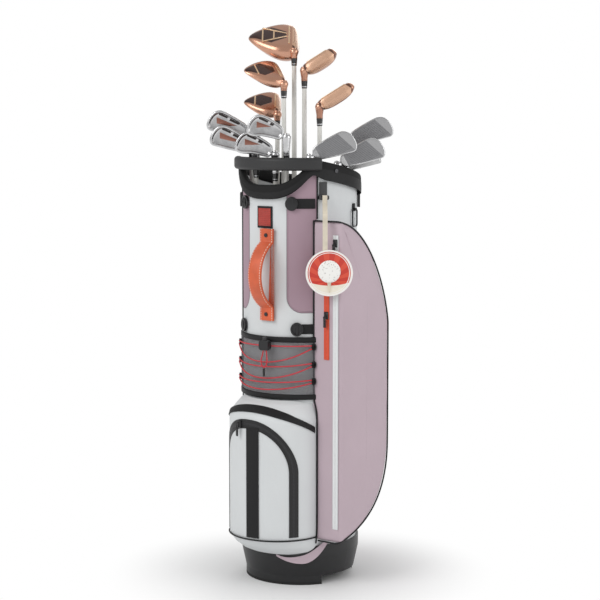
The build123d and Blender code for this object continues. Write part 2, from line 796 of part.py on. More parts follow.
strap_skin = tube_radius + anchor_size[1]
with BuildPart() as strap_anchors:
    for height in (strap_low, strap_high):
        with BuildSketch(outward_plane(tube_radius, 180, height)) as block:
            RectangleRounded(anchor_size[0], anchor_size[2], anchor_corner)
        extrude(block.sketch, amount=anchor_size[1])
    for side_turn in side_anchor_turns:
        with BuildSketch(outward_plane(tube_radius, side_turn, side_anchor_height)) as block:
            RectangleRounded(anchor_size[0] / 2, anchor_size[2], anchor_corner)
        extrude(block.sketch, amount=anchor_size[1])
    Cylinder(tube_radius, 2 * rim_seam_height, mode=Mode.SUBTRACT)
finish(strap_anchors, "strap_anchors")

with BuildPart() as shoulder_strap:
    near = strap_skin
    middle = (strap_low + strap_high) / 2
    with BuildSketch(Plane.YZ):
        with BuildLine():
            ThreePointArc(
                (near, strap_low), (near + strap_reach, middle), (near, strap_high)
            )
            Line((near, strap_high), (near + strap_thickness, strap_high))
            ThreePointArc(
                (near + strap_thickness, strap_high), (near + strap_reach + strap_thickness, middle),
                (near + strap_thickness, strap_low),
            )
            Line((near + strap_thickness, strap_low), (near, strap_low))
        make_face()
    extrude(amount=strap_width / 2, both=True)
finish(shoulder_strap, "shoulder_strap")


# ---- Clubs --------------------------------------------------------------------------------------------

def head_axes(heading, rise):
    """Toe, face and sole directions of a right-handed head that stands upside down on its shaft."""
    level = Vector(cos(radians(heading)), sin(radians(heading)), 0)
    toe = level * cos(radians(rise)) + Vector(0, 0, sin(radians(rise)))
    sole = level * -sin(radians(rise)) + Vector(0, 0, cos(radians(rise)))
    return toe, toe.cross(sole), sole


def add_hosel(club, upper):
    """The hosel, from the ferrule up to a height, with its bore for the shaft's tip."""
    low = club.sole_height - club.hosel
    with BuildSketch(Plane.XY.offset(low)) as ring:
        with Locations((club.x, club.y)):
            Circle(hosel_radius)
    extrude(ring.sketch, amount=upper - low)
    with BuildSketch(Plane.XY.offset(low)) as bore:
        with Locations((club.x, club.y)):
            Circle(shaft_tip_radius + bore_clearance)
    extrude(bore.sketch, amount=tip_insert, mode=Mode.SUBTRACT)
    with BuildSketch(Plane.XY.offset(low)) as room:
        with Locations((club.x, club.y)):
            Circle(hosel_radius + ferrule_room)
    extrude(room.sketch, amount=-2 * ferrule_length, mode=Mode.SUBTRACT)


# Outline of a wood's head, from heel to toe (-1 to 1) and from the face to the back (0 to 1)
wood_outline = [(-1, 0.36), (-0.84, 0.06), (0, 0), (0.84, 0.06), (1, 0.36), (0.7, 0.78), (0, 1), (-0.72, 0.74)]
wood_middle = 0.42
# Sections of the head below the sole, each (share of its height, size of its outline)
wood_sections = [(0.0, 0.8), (0.22, 0.96), (0.45, 1.0), (0.75, 0.84), (1.0, 0.42)]
heel_share = 0.16
face_lead_share = 0.1
wood_wall = 3.0


def wood_stages(club, wall):
    """The sections of a wood's head, from its sole to its crown, inside its skin by a wall."""
    toe, face, sole = head_axes(club.heading, wood_rise)
    foot = Vector(club.x, club.y, club.sole_height)
    half = club.toe * (1 + heel_share) / 2
    middle = club.toe - half
    sections = []
    for share, size in wood_sections:
        down = wall + share * (club.height - 2 * wall)
        plane = Plane(origin=foot - sole * down, x_dir=toe, z_dir=sole)
        along_reach = half * size - wall
        back_reach = club.depth * size - 2 * wall
        back_start = club.depth * (wood_middle * (1 - size) - face_lead_share) + wall
        outline = [(middle + along_reach * along, back_start + back_reach * back) for along, back in wood_outline]
        with BuildSketch(plane) as section:
            with BuildLine():
                Spline(*outline, periodic=True)
            make_face()
        sections.append(section.sketch.face())
    return sections


def wood_head(club):
    """A hollow head with its hosel running up inside it."""
    with BuildPart() as room:
        loft(wood_stages(club, wood_wall))
    with BuildPart() as head:
        loft(wood_stages(club, 0))
        add(room.part, mode=Mode.SUBTRACT)
        add_hosel(club, club.sole_height - hosel_radius)
    finish(head, f"{club.name}_head")


# Corners of an iron's blade, from the shaft's axis along the toe and down from the sole
blade_toe_height = 52.0
blade_heel_height = 32.0
blade_thickness = 14.0
blade_corner = 7.0
cavity_depth = 7.0
cavity_rim = 9.0


def iron_head(club):
    toe, face, sole = head_axes(club.heading, iron_rise)
    foot = Vector(club.x, club.y, club.sole_height)
    plane = Plane(origin=foot - face * (blade_thickness / 2), x_dir=toe, z_dir=face)
    with BuildPart() as head:
        with BuildSketch(plane) as blade:
            with BuildLine():
                Polyline(
                    (-6, -14), (6, -1), (club.toe - 22, 0), (club.toe - 4, -12), (club.toe, -34),
                    (club.toe - 9, -blade_toe_height), (4, -blade_heel_height), close=True,
                )
            make_face()
            fillet(blade.vertices(), blade_corner)
        extrude(blade.sketch, amount=blade_thickness)
        with BuildSketch(plane) as cavity:
            with BuildLine():
                Polyline(
                    (22, -cavity_rim), (club.toe - 12, -cavity_rim - 2), (club.toe - cavity_rim, -30),
                    (club.toe - cavity_rim - 8, -blade_toe_height + cavity_rim), (24, -blade_heel_height), close=True,
                )
            make_face()
            fillet(cavity.vertices(), blade_corner / 2)
        extrude(cavity.sketch, amount=cavity_depth, mode=Mode.SUBTRACT)
        add_hosel(club, club.sole_height - 2 * hosel_radius)
    finish(head, f"{club.name}_head")


putter_height = 24.0
putter_thickness = 20.0
putter_heel = 8.0       # beyond the shaft's axis
putter_corner = 5.0


def putter_head(club):
    toe, face, sole = head_axes(club.heading, putter_rise)
    foot = Vector(club.x, club.y, club.sole_height)
    with BuildPart() as head:
        with BuildSketch(Plane(origin=foot - face * (putter_thickness / 2), x_dir=toe, z_dir=face)) as blade:
            with Locations(((club.toe - putter_heel) / 2, -putter_height / 2)):
                RectangleRounded(club.toe + putter_heel, putter_height, putter_corner)
        extrude(blade.sketch, amount=putter_thickness)
        add_hosel(club, club.sole_height - hosel_radius)
    finish(head, f"{club.name}_head")


def shaft_radius(club, height):
    """The outer radius of a club's tapering shaft at a height."""
    share = (height - butt_height) / (club.sole_height - club.hosel - butt_height)
    return shaft_butt_radius + min(share, 1.0) * (shaft_tip_radius - shaft_butt_radius)


def turned(club, points):
    """A solid of revolution about a club's axis, from (radius, height) points, in a part of its own."""
    with BuildPart() as piece:
        with BuildSketch(Plane(origin=(club.x, club.y, 0), x_dir=(1, 0, 0), z_dir=(0, -1, 0))) as profile:
            with BuildLine():
                Polyline(*points, close=True)
            make_face()
        revolve(profile.sketch, axis=Axis((club.x, club.y, 0), (0, 0, 1)))
    return piece.part


def club_shaft(club):
    """The shaft tube with its grip and ferrule as separate solids of one node."""
    hosel_low = club.sole_height - club.hosel
    tip = hosel_low + tip_insert - seat_gap
    tube_foot = butt_height + grip_cap
    grip_mouth = butt_height + grip_length
    ferrule_low = hosel_low - ferrule_length
    with BuildPart() as shaft:
        add(turned(club, [
            (shaft_bore_radius, tube_foot), (shaft_radius(club, tube_foot), tube_foot),
            (shaft_radius(club, hosel_low), hosel_low), (shaft_tip_radius, tip), (shaft_bore_radius, tip),
        ]))
        add(turned(club, [
            (0, butt_height), (grip_butt_radius - 2, butt_height), (grip_butt_radius, butt_height + 3),
            (grip_mouth_radius, grip_mouth),
            (shaft_radius(club, grip_mouth) + bore_clearance, grip_mouth),
            (shaft_radius(club, tube_foot) + bore_clearance, tube_foot), (0, tube_foot - bore_clearance),
        ]))
        add(turned(club, [
            (shaft_radius(club, ferrule_low) + bore_clearance, ferrule_low),
            (shaft_radius(club, ferrule_low) + 0.8, ferrule_low), (hosel_radius, hosel_low - bore_clearance),
            (shaft_radius(club, hosel_low) + bore_clearance, hosel_low - bore_clearance),
        ]))
    finish(shaft, f"{club.name}_shaft")


make_head = {"wood": wood_head, "iron": iron_head, "putter": putter_head}
for club in clubs:
    make_head[club.kind](club)
    club_shaft(club)
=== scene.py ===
# %% [markdown]
# # A golf club set, dressed in Blender
# The construction model gives every piece its true size and place. This lesson adds what the eye sees:
# coated fabric with seams and piping, zips, an elastic lace, forged and painted club heads, and a finish on
# every surface. Lengths are in metres. The front of the bag faces -Y and its big side pocket faces +X.

# %% Open the frame
from collections import namedtuple
from math import atan2, cos, degrees, pi, radians, sin, sqrt

import bpy
from mathutils import Matrix, Vector, noise


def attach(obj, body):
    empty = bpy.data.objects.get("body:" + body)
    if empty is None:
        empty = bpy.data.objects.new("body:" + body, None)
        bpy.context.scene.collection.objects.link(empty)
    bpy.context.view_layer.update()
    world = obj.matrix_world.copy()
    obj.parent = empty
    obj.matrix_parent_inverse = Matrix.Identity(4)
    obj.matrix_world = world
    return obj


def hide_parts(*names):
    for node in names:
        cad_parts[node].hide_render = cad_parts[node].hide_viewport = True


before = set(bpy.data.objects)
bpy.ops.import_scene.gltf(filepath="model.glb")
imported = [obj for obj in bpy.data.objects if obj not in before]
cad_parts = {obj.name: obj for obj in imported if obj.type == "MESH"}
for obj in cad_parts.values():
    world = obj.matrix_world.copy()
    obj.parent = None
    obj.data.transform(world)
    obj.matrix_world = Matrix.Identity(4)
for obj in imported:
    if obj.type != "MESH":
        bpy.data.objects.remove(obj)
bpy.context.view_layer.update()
bpy.ops.object.select_all(action="DESELECT")
print("nodes in the frame:", len(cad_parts))

# %% [markdown]
# ## The camera
# A catalogue view: a long lens, a little above half height, looking slightly down, from the front and
# towards the side of the big pocket. A long lens keeps the tall bag from leaning outwards.

# %% Place the camera
VIEW_TURN = 37.0        # degrees from the front towards the side pocket
VIEW_DISTANCE = 3.6
VIEW_HEIGHT = 0.98
VIEW_DOWN = 6.4         # degrees
SENSOR = 36.0
LENS = 104.5


def around(radius, turn, height=0.0):
    """The point at a distance from the bag's axis, at a turn in degrees from the front towards +X."""
    return Vector((radius * sin(radians(turn)), -radius * cos(radians(turn)), height))


camera_data = bpy.data.cameras.new("catalogue_camera")
camera_data.sensor_width = SENSOR
camera_data.lens = LENS
camera = bpy.data.objects.new("catalogue_camera", camera_data)
bpy.context.collection.objects.link(camera)
camera.location = around(VIEW_DISTANCE, VIEW_TURN, VIEW_HEIGHT)
camera.rotation_euler = (radians(90 - VIEW_DOWN), 0, radians(VIEW_TURN))
bpy.context.scene.camera = camera
print("camera at", tuple(round(c, 3) for c in camera.location))

# %% [markdown]
# ## Writing a material as a sum
# A node tree is easier to read as arithmetic. `Wire` wraps one socket, so that `1 - mask` or `height * 0.5`
# adds the Math node it stands for. `Finish` is a material, and its `node` method adds any other node.

# %% Wrap a socket
class Wire:
    """A shader socket that can be used in arithmetic."""

    def __init__(self, finish, socket):
        self.finish = finish
        self.socket = socket

    def math(self, operation, other=None, swap=False):
        inputs = {0: self} if other is None else {0: other, 1: self} if swap else {0: self, 1: other}
        return self.finish.node("Math", {"operation": operation}, inputs)

    def sum_of(operation, swap=False):
        """A method that adds one Math node; swap puts the other value first."""
        return lambda self, other=None: self.math(operation, other, swap)

    __add__ = __radd__ = sum_of("ADD")
    __sub__, __rsub__ = sum_of("SUBTRACT"), sum_of("SUBTRACT", swap=True)
    __mul__ = __rmul__ = sum_of("MULTIPLY")
    __truediv__ = sum_of("DIVIDE")
    __gt__, __lt__ = sum_of("GREATER_THAN"), sum_of("LESS_THAN")
    size, sine = sum_of("ABSOLUTE"), sum_of("SINE")
    lesser, greater = sum_of("MINIMUM"), sum_of("MAXIMUM")

    def soft_step(self, low, high):
        """0 below low, 1 above high and smooth between."""
        inputs = {"Value": self, "From Min": low, "From Max": high}
        return self.finish.node("MapRange", {"interpolation_type": "SMOOTHSTEP"}, inputs)


# %% Wrap a material
def paint(code):
    """A colour written as on a paint card, turned into the linear values that Blender works in."""
    values = [int(code[i:i + 2], 16) / 255 for i in (0, 2, 4)]
    return tuple(v / 12.92 if v <= 0.04045 else ((v + 0.055) / 1.055) ** 2.4 for v in values) + (1.0,)


def darker(colour, share):
    """A colour with its light cut to a share."""
    return tuple(c * share for c in colour[:3]) + (1,)


class Finish:
    """A material that is built node by node."""

    def __init__(self, name, roughness=0.5, metallic=0.0):
        self.material = bpy.data.materials.new(name)
        self.material.use_nodes = True
        self.tree = self.material.node_tree
        self.shader = self.tree.nodes["Principled BSDF"]
        self.put("Roughness", roughness)
        self.put("Metallic", metallic)

    def plug(self, socket, value):
        if isinstance(value, Wire):
            self.tree.links.new(value.socket, socket)
        else:
            socket.default_value = value

    def put(self, socket, value):
        """Sets or feeds one socket of the main shader."""
        self.plug(self.shader.inputs[socket], value)

    def node(self, kind, settings=None, inputs=None, output=0):
        added = self.tree.nodes.new("ShaderNode" + kind)
        for name, value in (settings or {}).items():
            setattr(added, name, value)
        for name, value in (inputs or {}).items():
            self.plug(added.inputs[name], value)
        return Wire(self, added.outputs[output])

    def place(self, scale=None):
        """Object coordinates, stretched by a Mapping node where a scale is given."""
        where = self.node("TexCoord", output=3)
        return self.node("Mapping", {}, {"Vector": where, "Scale": scale}) if scale else where

    def parts(self, where=None):
        """The x, y and z of a vector."""
        split = self.node("SeparateXYZ", {}, {0: where or self.place()})
        outputs = split.socket.node.outputs
        return [Wire(self, outputs[i]) for i in range(3)]

    def turn(self):
        """The turn about the bag's axis from the front, in degrees."""
        x, y, _ = self.parts()
        return x.math("ARCTAN2", y * -1) * degrees(1)

    def mix(self, factor, one, two):
        return self.node("Mix", {"data_type": "RGBA"}, {0: factor, 6: one, 7: two}, output=2)

    def noise(self, scale, detail=2.0, where=None):
        return self.node("TexNoise", {}, {"Vector": where or self.place(), "Scale": scale, "Detail": detail})

    def cells(self, scale):
        return self.node("TexVoronoi", {}, {"Vector": self.place(), "Scale": scale})

    def bump(self, height, strength, distance=0.001, after=None):
        inputs = {"Height": height, "Strength": strength, "Distance": distance}
        if after:
            inputs["Normal"] = after
        return self.node("Bump", {}, inputs)


print("paint check, mid grey:", round(paint("808080")[0], 3))

# %% [markdown]
# ## Floor and light
# The floor is pale and plain, and it is white where the camera, a reflection or a view through glass meets
# it far away, so the picture gets its white ground from colour and not from more light. Three large lamps
# and an even world keep the shadows soft.

# %% Lay the floor
WHITE_FROM = (0.16, 0.42)   # metres from the axis between which the floor turns white
bpy.ops.mesh.primitive_plane_add(size=30, location=(0, 0, 0))
floor = bpy.context.object
floor.name = "studio_floor"
floor_finish = Finish("floor_paper", roughness=0.9)
floor_finish.put("Base Color", paint("F4F4F4"))
floor_finish.put("Specular IOR Level", 0.0)
glow = floor_finish.node("Emission", {}, {"Color": (1, 1, 1, 1), "Strength": 1.0})
rays = floor_finish.node("LightPath").socket.node.outputs
camera_ray, glossy_ray, clear_ray = (
    Wire(floor_finish, rays[f"Is {kind} Ray"]) for kind in ("Camera", "Glossy", "Transmission"))
seen = camera_ray.greater(glossy_ray).greater(clear_ray)
ground_x, ground_y, _ = floor_finish.parts()
ground_reach = (ground_x * ground_x + ground_y * ground_y).math("SQRT")
far = ground_reach.soft_step(*WHITE_FROM)
shader_mix = floor_finish.node("MixShader", {}, {0: seen * far})
mix_node = shader_mix.socket.node
floor_finish.tree.links.new(floor_finish.shader.outputs[0], mix_node.inputs[1])
floor_finish.tree.links.new(glow.socket, mix_node.inputs[2])
floor_finish.tree.links.new(mix_node.outputs[0], floor_finish.tree.nodes["Material Output"].inputs[0])
floor.data.materials.append(floor_finish.material)
print("floor laid")

# %% Light the studio
world = bpy.data.worlds.new("studio_world")
bpy.context.scene.world = world
world.use_nodes = True
background = world.node_tree.nodes["Background"]
background.inputs["Color"].default_value = (1, 1, 1, 1)
world_path = world.node_tree.nodes.new("ShaderNodeLightPath")
world_seen = world.node_tree.nodes.new("ShaderNodeMath")
world_seen.operation = "MAXIMUM"
world.node_tree.links.new(world_path.outputs["Is Camera Ray"], world_seen.inputs[0])
world.node_tree.links.new(world_path.outputs["Is Transmission Ray"], world_seen.inputs[1])
WORLD_LEVEL = 0.55
world_level = world.node_tree.nodes.new("ShaderNodeMapRange")
world_level.inputs["To Min"].default_value = WORLD_LEVEL
world_level.inputs["To Max"].default_value = 1.0
world.node_tree.links.new(world_seen.outputs[0], world_level.inputs["Value"])
world.node_tree.links.new(world_level.outputs[0], background.inputs["Strength"])


def lamp(name, turn, distance, height, size, power):
    """A soft square lamp that looks at the middle of the bag."""
    data = bpy.data.lights.new(name, "AREA")
    data.size = size
    data.energy = power
    holder = bpy.data.objects.new(name, data)
    bpy.context.collection.objects.link(holder)
    holder.location = around(distance, turn, height)
    aim = Vector((0, 0, 0.6)) - holder.location
    holder.rotation_euler = aim.to_track_quat("-Z", "Y").to_euler()


lamp("key_lamp", -15, 2.6, 2.2, 1.6, 34)
lamp("fill_lamp", 95, 2.6, 1.4, 1.8, 20)
lamp("back_lamp", 200, 2.8, 2.0, 1.6, 16)
bpy.context.scene.view_settings.view_transform = "Standard"
print("lamps hung")

# %% [markdown]
# ## Coated fabric
# The bag's shell is a woven polyester with a smooth coating. It is nearly matt, its colour drifts a little,
# and it carries the fine grid of its weave and a few soft wrinkles. All fabrics share one recipe, so that
# only their colour, the size of their weave and the depth of their wrinkles differ.

# %% A recipe for fabric
WEAVE = 0.0011          # metres from thread to thread


def weave_height(finish, pitch=WEAVE):
    """Threads over and under each other, from 0 to 1, by turn round the bag, depth and height."""
    x, y, z = finish.parts()
    rate = 2 * pi / pitch
    across = ((x + y * 0.37) * rate).sine()
    along = (z * rate).sine()
    return (across * along + 1) * 0.5


def fabric(name, colour, shade=0.90, roughness=0.62, pitch=WEAVE, wrinkle=0.35, thread=0.10):
    """A woven fabric in one colour, given as a paint code."""
    finish = Finish(name)
    finish.put("Specular IOR Level", 0.35)
    dress_fabric(finish, paint(colour), shade, roughness, pitch, wrinkle, thread)
    return finish


def dress_fabric(finish, colour, shade, roughness, pitch, wrinkle, thread, dents=None):
    """Weave, drift of colour and wrinkles on a finish whose base colour is given."""
    drift = finish.noise(9.0, 4.0)
    threads = weave_height(finish, pitch)
    dark = finish.node("Mix", {"data_type": "RGBA", "blend_type": "MULTIPLY"},
                       {0: 1.0, 6: colour, 7: (shade, shade, shade, 1)}, output=2)
    finish.put("Base Color", finish.mix((drift * 0.6 + threads * 0.25).soft_step(0.25, 0.75), dark, colour))
    finish.put("Roughness", drift * 0.18 + (roughness - 0.09))
    folds = finish.bump(finish.noise(14.0, 3.0), wrinkle, 0.006)
    if dents is not None:
        folds = finish.bump(dents, 0.8, 0.002, after=folds)
    finish.put("Normal", finish.bump(threads, thread, 0.0004, after=folds))


WHITE = "DDE0E1"
MAUVE = "AC929E"
side_fabric = fabric("mauve_coated_fabric", "C8B5BE")
white_fabric = fabric("white_coated_fabric", WHITE, shade=0.94)
# name, colour, shade, roughness, pitch, wrinkle, thread
black_webbing = fabric("black_webbing", "121214", 0.7, 0.55, 0.0022, 0.05, 0.6)
cuff_fabric = fabric("black_cuff_fabric", "0F0F10", 0.75, 0.7, 0.0016, 0.4, 0.3)
lining_fabric = fabric("black_lining", "161617", 0.7, 0.8, WEAVE, 0.5)
piping_fabric = fabric("black_piping", "151517", 0.8, 0.45, 0.0018, 0.1, 0.25)
print("plain fabrics:", 6)

# %% [markdown]
# The shell's front is cut from two colours. A white panel runs down the middle and opens out below the carry
# handle, and a mauve panel with a rounded lower corner lies on each side of it. The seam between them is a
# line of constant distance from that rounded corner, so one number draws the panel, its seam and its stitches.

# %% Cut the shell's panels
PANEL_TURN = 24.0       # where the mauve panels start
SEAM_TURN = 54.0        # where they end, under the piping
PANEL_LOW = 0.563
PANEL_CORNER = 32.0     # millimetres
BACK_TURN = 146.0
MM_PER_DEGREE = 2.06    # round the shell
STITCH = 0.004          # metres from stitch to stitch
shell_finish = Finish("panelled_shell_fabric")
shell_finish.put("Specular IOR Level", 0.35)
shell_turn = shell_finish.turn().size()
shell_height = shell_finish.parts()[2]
from_side = (PANEL_CORNER - (shell_turn - PANEL_TURN) * MM_PER_DEGREE).greater(0.0)
from_below = (PANEL_CORNER - (shell_height - PANEL_LOW) * 1000).greater(0.0)
corner_distance = (from_side * from_side + from_below * from_below).math("SQRT")
mauve_mask = (corner_distance < PANEL_CORNER) * (shell_turn < SEAM_TURN)
mauve_mask = mauve_mask.greater(shell_turn > BACK_TURN)
seam_mask = (1 - (corner_distance - PANEL_CORNER).size().soft_step(0.3, 1.1)) * (shell_turn < SEAM_TURN)
stitch_rows = 1 - ((corner_distance - (PANEL_CORNER - 3)).size()).soft_step(0.2, 0.6)
stitches = stitch_rows * (shell_height * 2 * pi / STITCH).sine().soft_step(-0.2, 0.2) * (shell_turn < SEAM_TURN)
shell_colour = shell_finish.mix(mauve_mask, paint(WHITE), paint(MAUVE))
shell_colour = shell_finish.mix(seam_mask * 0.55, shell_colour, paint("5E5057"))
shell_colour = shell_finish.mix(stitches * 0.5, shell_colour, paint("8C7B83"))
dress_fabric(shell_finish, shell_colour, 0.93, 0.6, WEAVE, 0.5, 0.10,
             dents=1 - seam_mask.greater(stitches * 0.5))
print("shell panels cut at", PANEL_TURN, SEAM_TURN, BACK_TURN)

# %% [markdown]
# ## Plastics, rubber and metals
# A moulded plastic has a faint grain and slightly shinier edges of wear. Metals are worked in three ways:
# a brushed one has fine scratches in one direction, a plated one is smooth with a soft uneven gloss, and a
# painted one has a clear coat over its flakes.

# %% A recipe for moulded parts and metals
def cloudy(finish, colour, cloud, dark, roughness, spread):
    """Clouds of a darker colour and another gloss over a finish; gives back the gloss."""
    base = paint(colour)
    finish.put("Base Color", finish.mix(cloud.soft_step(0.3, 0.7), darker(base, dark), base))
    gloss = cloud * spread + (roughness - spread / 2)
    finish.put("Roughness", gloss)
    return gloss


def moulded(name, colour, roughness=0.45, grain=900.0, depth=0.18):
    """A moulded plastic or rubber with a fine grain."""
    finish = Finish(name)
    cloudy(finish, colour, finish.noise(26.0, 4.0), 0.85, roughness, 0.22)
    finish.put("Normal", finish.bump(finish.noise(grain, 2.0), depth, 0.0004))
    return finish


def metal(name, colour, roughness=0.25, brushed=0.0, dark=0.75, coat=0.0):
    """A plated, brushed or painted metal. brushed is the depth of its scratches."""
    finish = Finish(name, metallic=1.0)
    gloss = cloudy(finish, colour, finish.noise(38.0, 3.0), dark, roughness, 0.14)
    lines = finish.noise(1.0, 3.0, where=finish.place(scale=(180, 180, 3200)))
    finish.put("Roughness", gloss + lines * 0.1 * brushed)
    finish.put("Normal", finish.bump(lines, 0.1 + brushed, 0.0002))
    finish.put("Coat Weight", coat)
    return finish


base_plastic = moulded("black_moulded_base", "161618", 0.42, 600.0, 0.3)
sole_rubber = moulded("black_sole_rubber", "161616", 0.75, 420.0, 0.5)
buckle_plastic = moulded("black_buckle_plastic", "1A1A1C", 0.32)
rubber_bar = moulded("grey_bar_rubber", "2C2C2D", 0.55, 320.0, 0.6)
divider_plastic = moulded("black_divider_foam", "19191A", 0.8, 260.0, 0.6)
button_plastic = moulded("black_button", "2A2A2C", 0.35)
stay_metal = metal("stay_aluminium", "B9BBBD", 0.35, brushed=0.5)
black_metal = metal("black_plated_wire", "2B2B2D", 0.28, dark=0.7)
rivet_metal = metal("dark_rivet", "4A4A4C", 0.3)
gold_trim = metal("pale_gold_trim", "FFDDB6", 0.3, dark=0.92)
# Dark paint standing in for the shade in the irons' slots and the putter's sight line.
shadow_paint = moulded("painted_recess_shade", "241917", 0.35, 500.0, 0.1)
putter_steel = metal("milled_putter_steel", "C2C2C2", 0.33, brushed=0.7)
badge_copper = metal("rose_badge", "9E6C5D", 0.35, dark=0.85, coat=0.4)
print("hard finishes:", 13)

# %% [markdown]
# ## Leather, elastic, mesh and zips
# The carry handle is orange leather with a stitched edge. The lace is a round elastic with a braided cover,
# the mesh is a diamond net that is open between its threads, and a zip has a coil of teeth on a woven tape.

# %% Dress the leather, the elastic and the net
def leather(name, colour, roughness=0.42):
    """Leather with a pebbled grain and darker pores."""
    finish = Finish(name)
    cloudy(finish, colour, finish.noise(30.0, 4.0), 0.78, roughness, 0.2)
    finish.put("Normal", finish.bump(finish.cells(700.0), 0.35, 0.0005))
    return finish


orange_leather = leather("orange_leather", "E3683F")
cream_leather = leather("cream_leather", "E6DCC8", 0.5)

elastic = Finish("red_braided_elastic", roughness=0.55)
BRAID = 2.4             # millimetres along the lace from one turn of its braid to the next
LACE_MM_PER_DEGREE = 2.25
elastic_run = elastic.turn() * LACE_MM_PER_DEGREE
elastic_braid = (elastic_run * (2 * pi / BRAID)).sine().soft_step(-0.4, 0.4)
elastic.put("Base Color", elastic.mix(elastic_braid, paint("B02733"), paint("E2434B")))
elastic.put("Normal", elastic.bump(elastic_braid, 0.5, 0.0004))

NET = 0.0042            # metres across one diamond
net = Finish("grey_diamond_net", roughness=0.6)
net_turn = net.turn() * (MM_PER_DEGREE / 1000)
net_height = net.parts()[2]
one_way, other_way = (
    ((net_turn + net_height * slope) * (2 * pi / NET)).sine().size() for slope in (0.7, -0.7))
net_threads = 1 - one_way.lesser(other_way).soft_step(0.42, 0.62)
net.put("Base Color", net.mix(net.noise(40.0), paint("5C5B5F"), paint("77767A")))
net.put("Alpha", net_threads.greater(0.0))
net.put("Normal", net.bump(net_threads, 0.4, 0.0004))
print("leather, elastic and net dressed; net pitch", NET)


# %% Dress the zips
TOOTH = 0.0026          # metres from tooth to tooth
SIDE_ZIP_X, GUSSET_ZIP_X = 0.146, 0.124


def zip_finish(name, tape, teeth, along, across, gap=0.35):
    """A zip: a coil of teeth down a woven tape. along and across read a finish; gap is the share of the teeth's
    colour left in the shade painted between them.
    """
    half_width = 0.0022
    finish = Finish(name, roughness=0.5)
    run = along(finish)
    side = across(finish).size()
    coil = 1 - side.soft_step(half_width * 0.8, half_width)
    tooth = (run * (2 * pi / TOOTH)).sine().soft_step(-0.3, 0.3)
    edge = side.soft_step(half_width * 2.1, half_width * 2.3)
    base = finish.mix(edge * 0.35, paint(tape), darker(paint(tape), 0.6))
    # The gaps between the teeth are painted darker as shade.
    coil_colour = finish.mix(tooth, darker(paint(teeth), gap), paint(teeth))
    finish.put("Base Color", finish.mix(coil, base, coil_colour))
    relief = coil * (tooth * 0.6 + 0.4) + weave_height(finish, 0.0014) * 0.12
    finish.put("Normal", finish.bump(relief, 0.7, 0.0012))
    return finish


def by_height(finish):
    return finish.parts()[2]


side_zip = zip_finish("white_zip", "EBEEEF", "F4F6F7", by_height, lambda f: f.parts()[0] - SIDE_ZIP_X, 0.86)
gusset_zip = zip_finish("red_zip", "E2512F", "EC5D42", by_height, lambda f: f.parts()[0] - GUSSET_ZIP_X, 0.7)
print("zips dressed; tooth pitch", TOOTH)

# %% [markdown]
# ## Tools of the workshop
# Most of the bag is cloth bent round an upright axis. A flat grid is the natural start for that: it is cut
# into columns and rows, rolled to its place, closed where its edges meet and given its thickness by a
# modifier. Small hard parts start from a cube or a cylinder that is inset, extruded and bevelled.

# %% Start, change and finish a piece
def alone(*pieces):
    """Selects only these pieces; operators act on all that is selected."""
    bpy.ops.object.select_all(action="DESELECT")
    for piece in pieces:
        piece.select_set(True)
        bpy.context.view_layer.objects.active = piece


def start(kind, name, **settings):
    """Adds a primitive, selected on its own."""
    alone()
    getattr(bpy.ops.mesh, f"primitive_{kind}_add")(**settings)
    piece = bpy.context.object
    piece.name = name
    return piece


def modify(piece, kind, **settings):
    """Adds a modifier and applies it."""
    alone(piece)
    change = piece.modifiers.new(kind.lower(), kind)
    for name, value in settings.items():
        setattr(change, name, value)
    bpy.ops.object.modifier_apply(modifier=change.name)
    return piece


def close_up(piece, gap=0.00004):
    """Merges corners that meet and turns all faces outwards."""
    alone(piece)
    bpy.ops.object.mode_set(mode="EDIT")
    bpy.ops.mesh.select_all(action="SELECT")
    bpy.ops.mesh.remove_doubles(threshold=gap)
    bpy.ops.mesh.normals_make_consistent(inside=False)
    bpy.ops.object.mode_set(mode="OBJECT")
    return piece


def cap_ends(piece):
    """Fills the open ends of a swept piece."""
    alone(piece)
    bpy.ops.object.mode_set(mode="EDIT")
    bpy.ops.mesh.select_mode(type="EDGE")
    bpy.ops.mesh.select_all(action="DESELECT")
    bpy.ops.mesh.select_non_manifold()
    bpy.ops.mesh.fill()
    bpy.ops.mesh.select_all(action="SELECT")
    bpy.ops.mesh.normals_make_consistent(inside=False)
    bpy.ops.object.mode_set(mode="OBJECT")
    return piece


def smooth(piece, angle=42):
    alone(piece)
    bpy.ops.object.shade_smooth_by_angle(angle=radians(angle))
    return piece


def put_in_place(piece, place):
    """Moves a piece by a matrix and puts that place into its mesh."""
    bpy.context.view_layer.update()
    piece.matrix_world = place @ piece.matrix_world
    alone(piece)
    bpy.ops.object.transform_apply(location=True, rotation=True, scale=True)
    return piece


def join(name, pieces):
    bpy.context.view_layer.update()
    alone(*pieces)
    bpy.ops.object.join()
    whole = bpy.context.object
    whole.name = name
    return whole


made = []


def deliver(piece, finishes, body="bag", stands_for=(), slot=None):
    """Gives a finished piece its material, its body and the CAD nodes that it stands for."""
    finishes = finishes if isinstance(finishes, (list, tuple)) else [finishes]
    alone(piece)
    if piece.type == "MESH":
        bpy.ops.object.transform_apply(location=True, rotation=True, scale=True)
    piece.data.materials.clear()
    for finish in finishes:
        piece.data.materials.append(finish.material)
    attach(piece, body)
    if stands_for:
        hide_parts(*([stands_for] if isinstance(stands_for, str) else stands_for))
    made.append(piece.name)
    return piece


def bent_sheet(name, columns, rows, rule):
    """A grid whose corner at (u, v), each from 0 to 1, is moved to rule(u, v)."""
    piece = start("grid", name, x_subdivisions=columns, y_subdivisions=rows, size=2)
    for corner in piece.data.vertices:
        corner.co = rule((corner.co.x + 1) / 2, (corner.co.y + 1) / 2)
    return piece


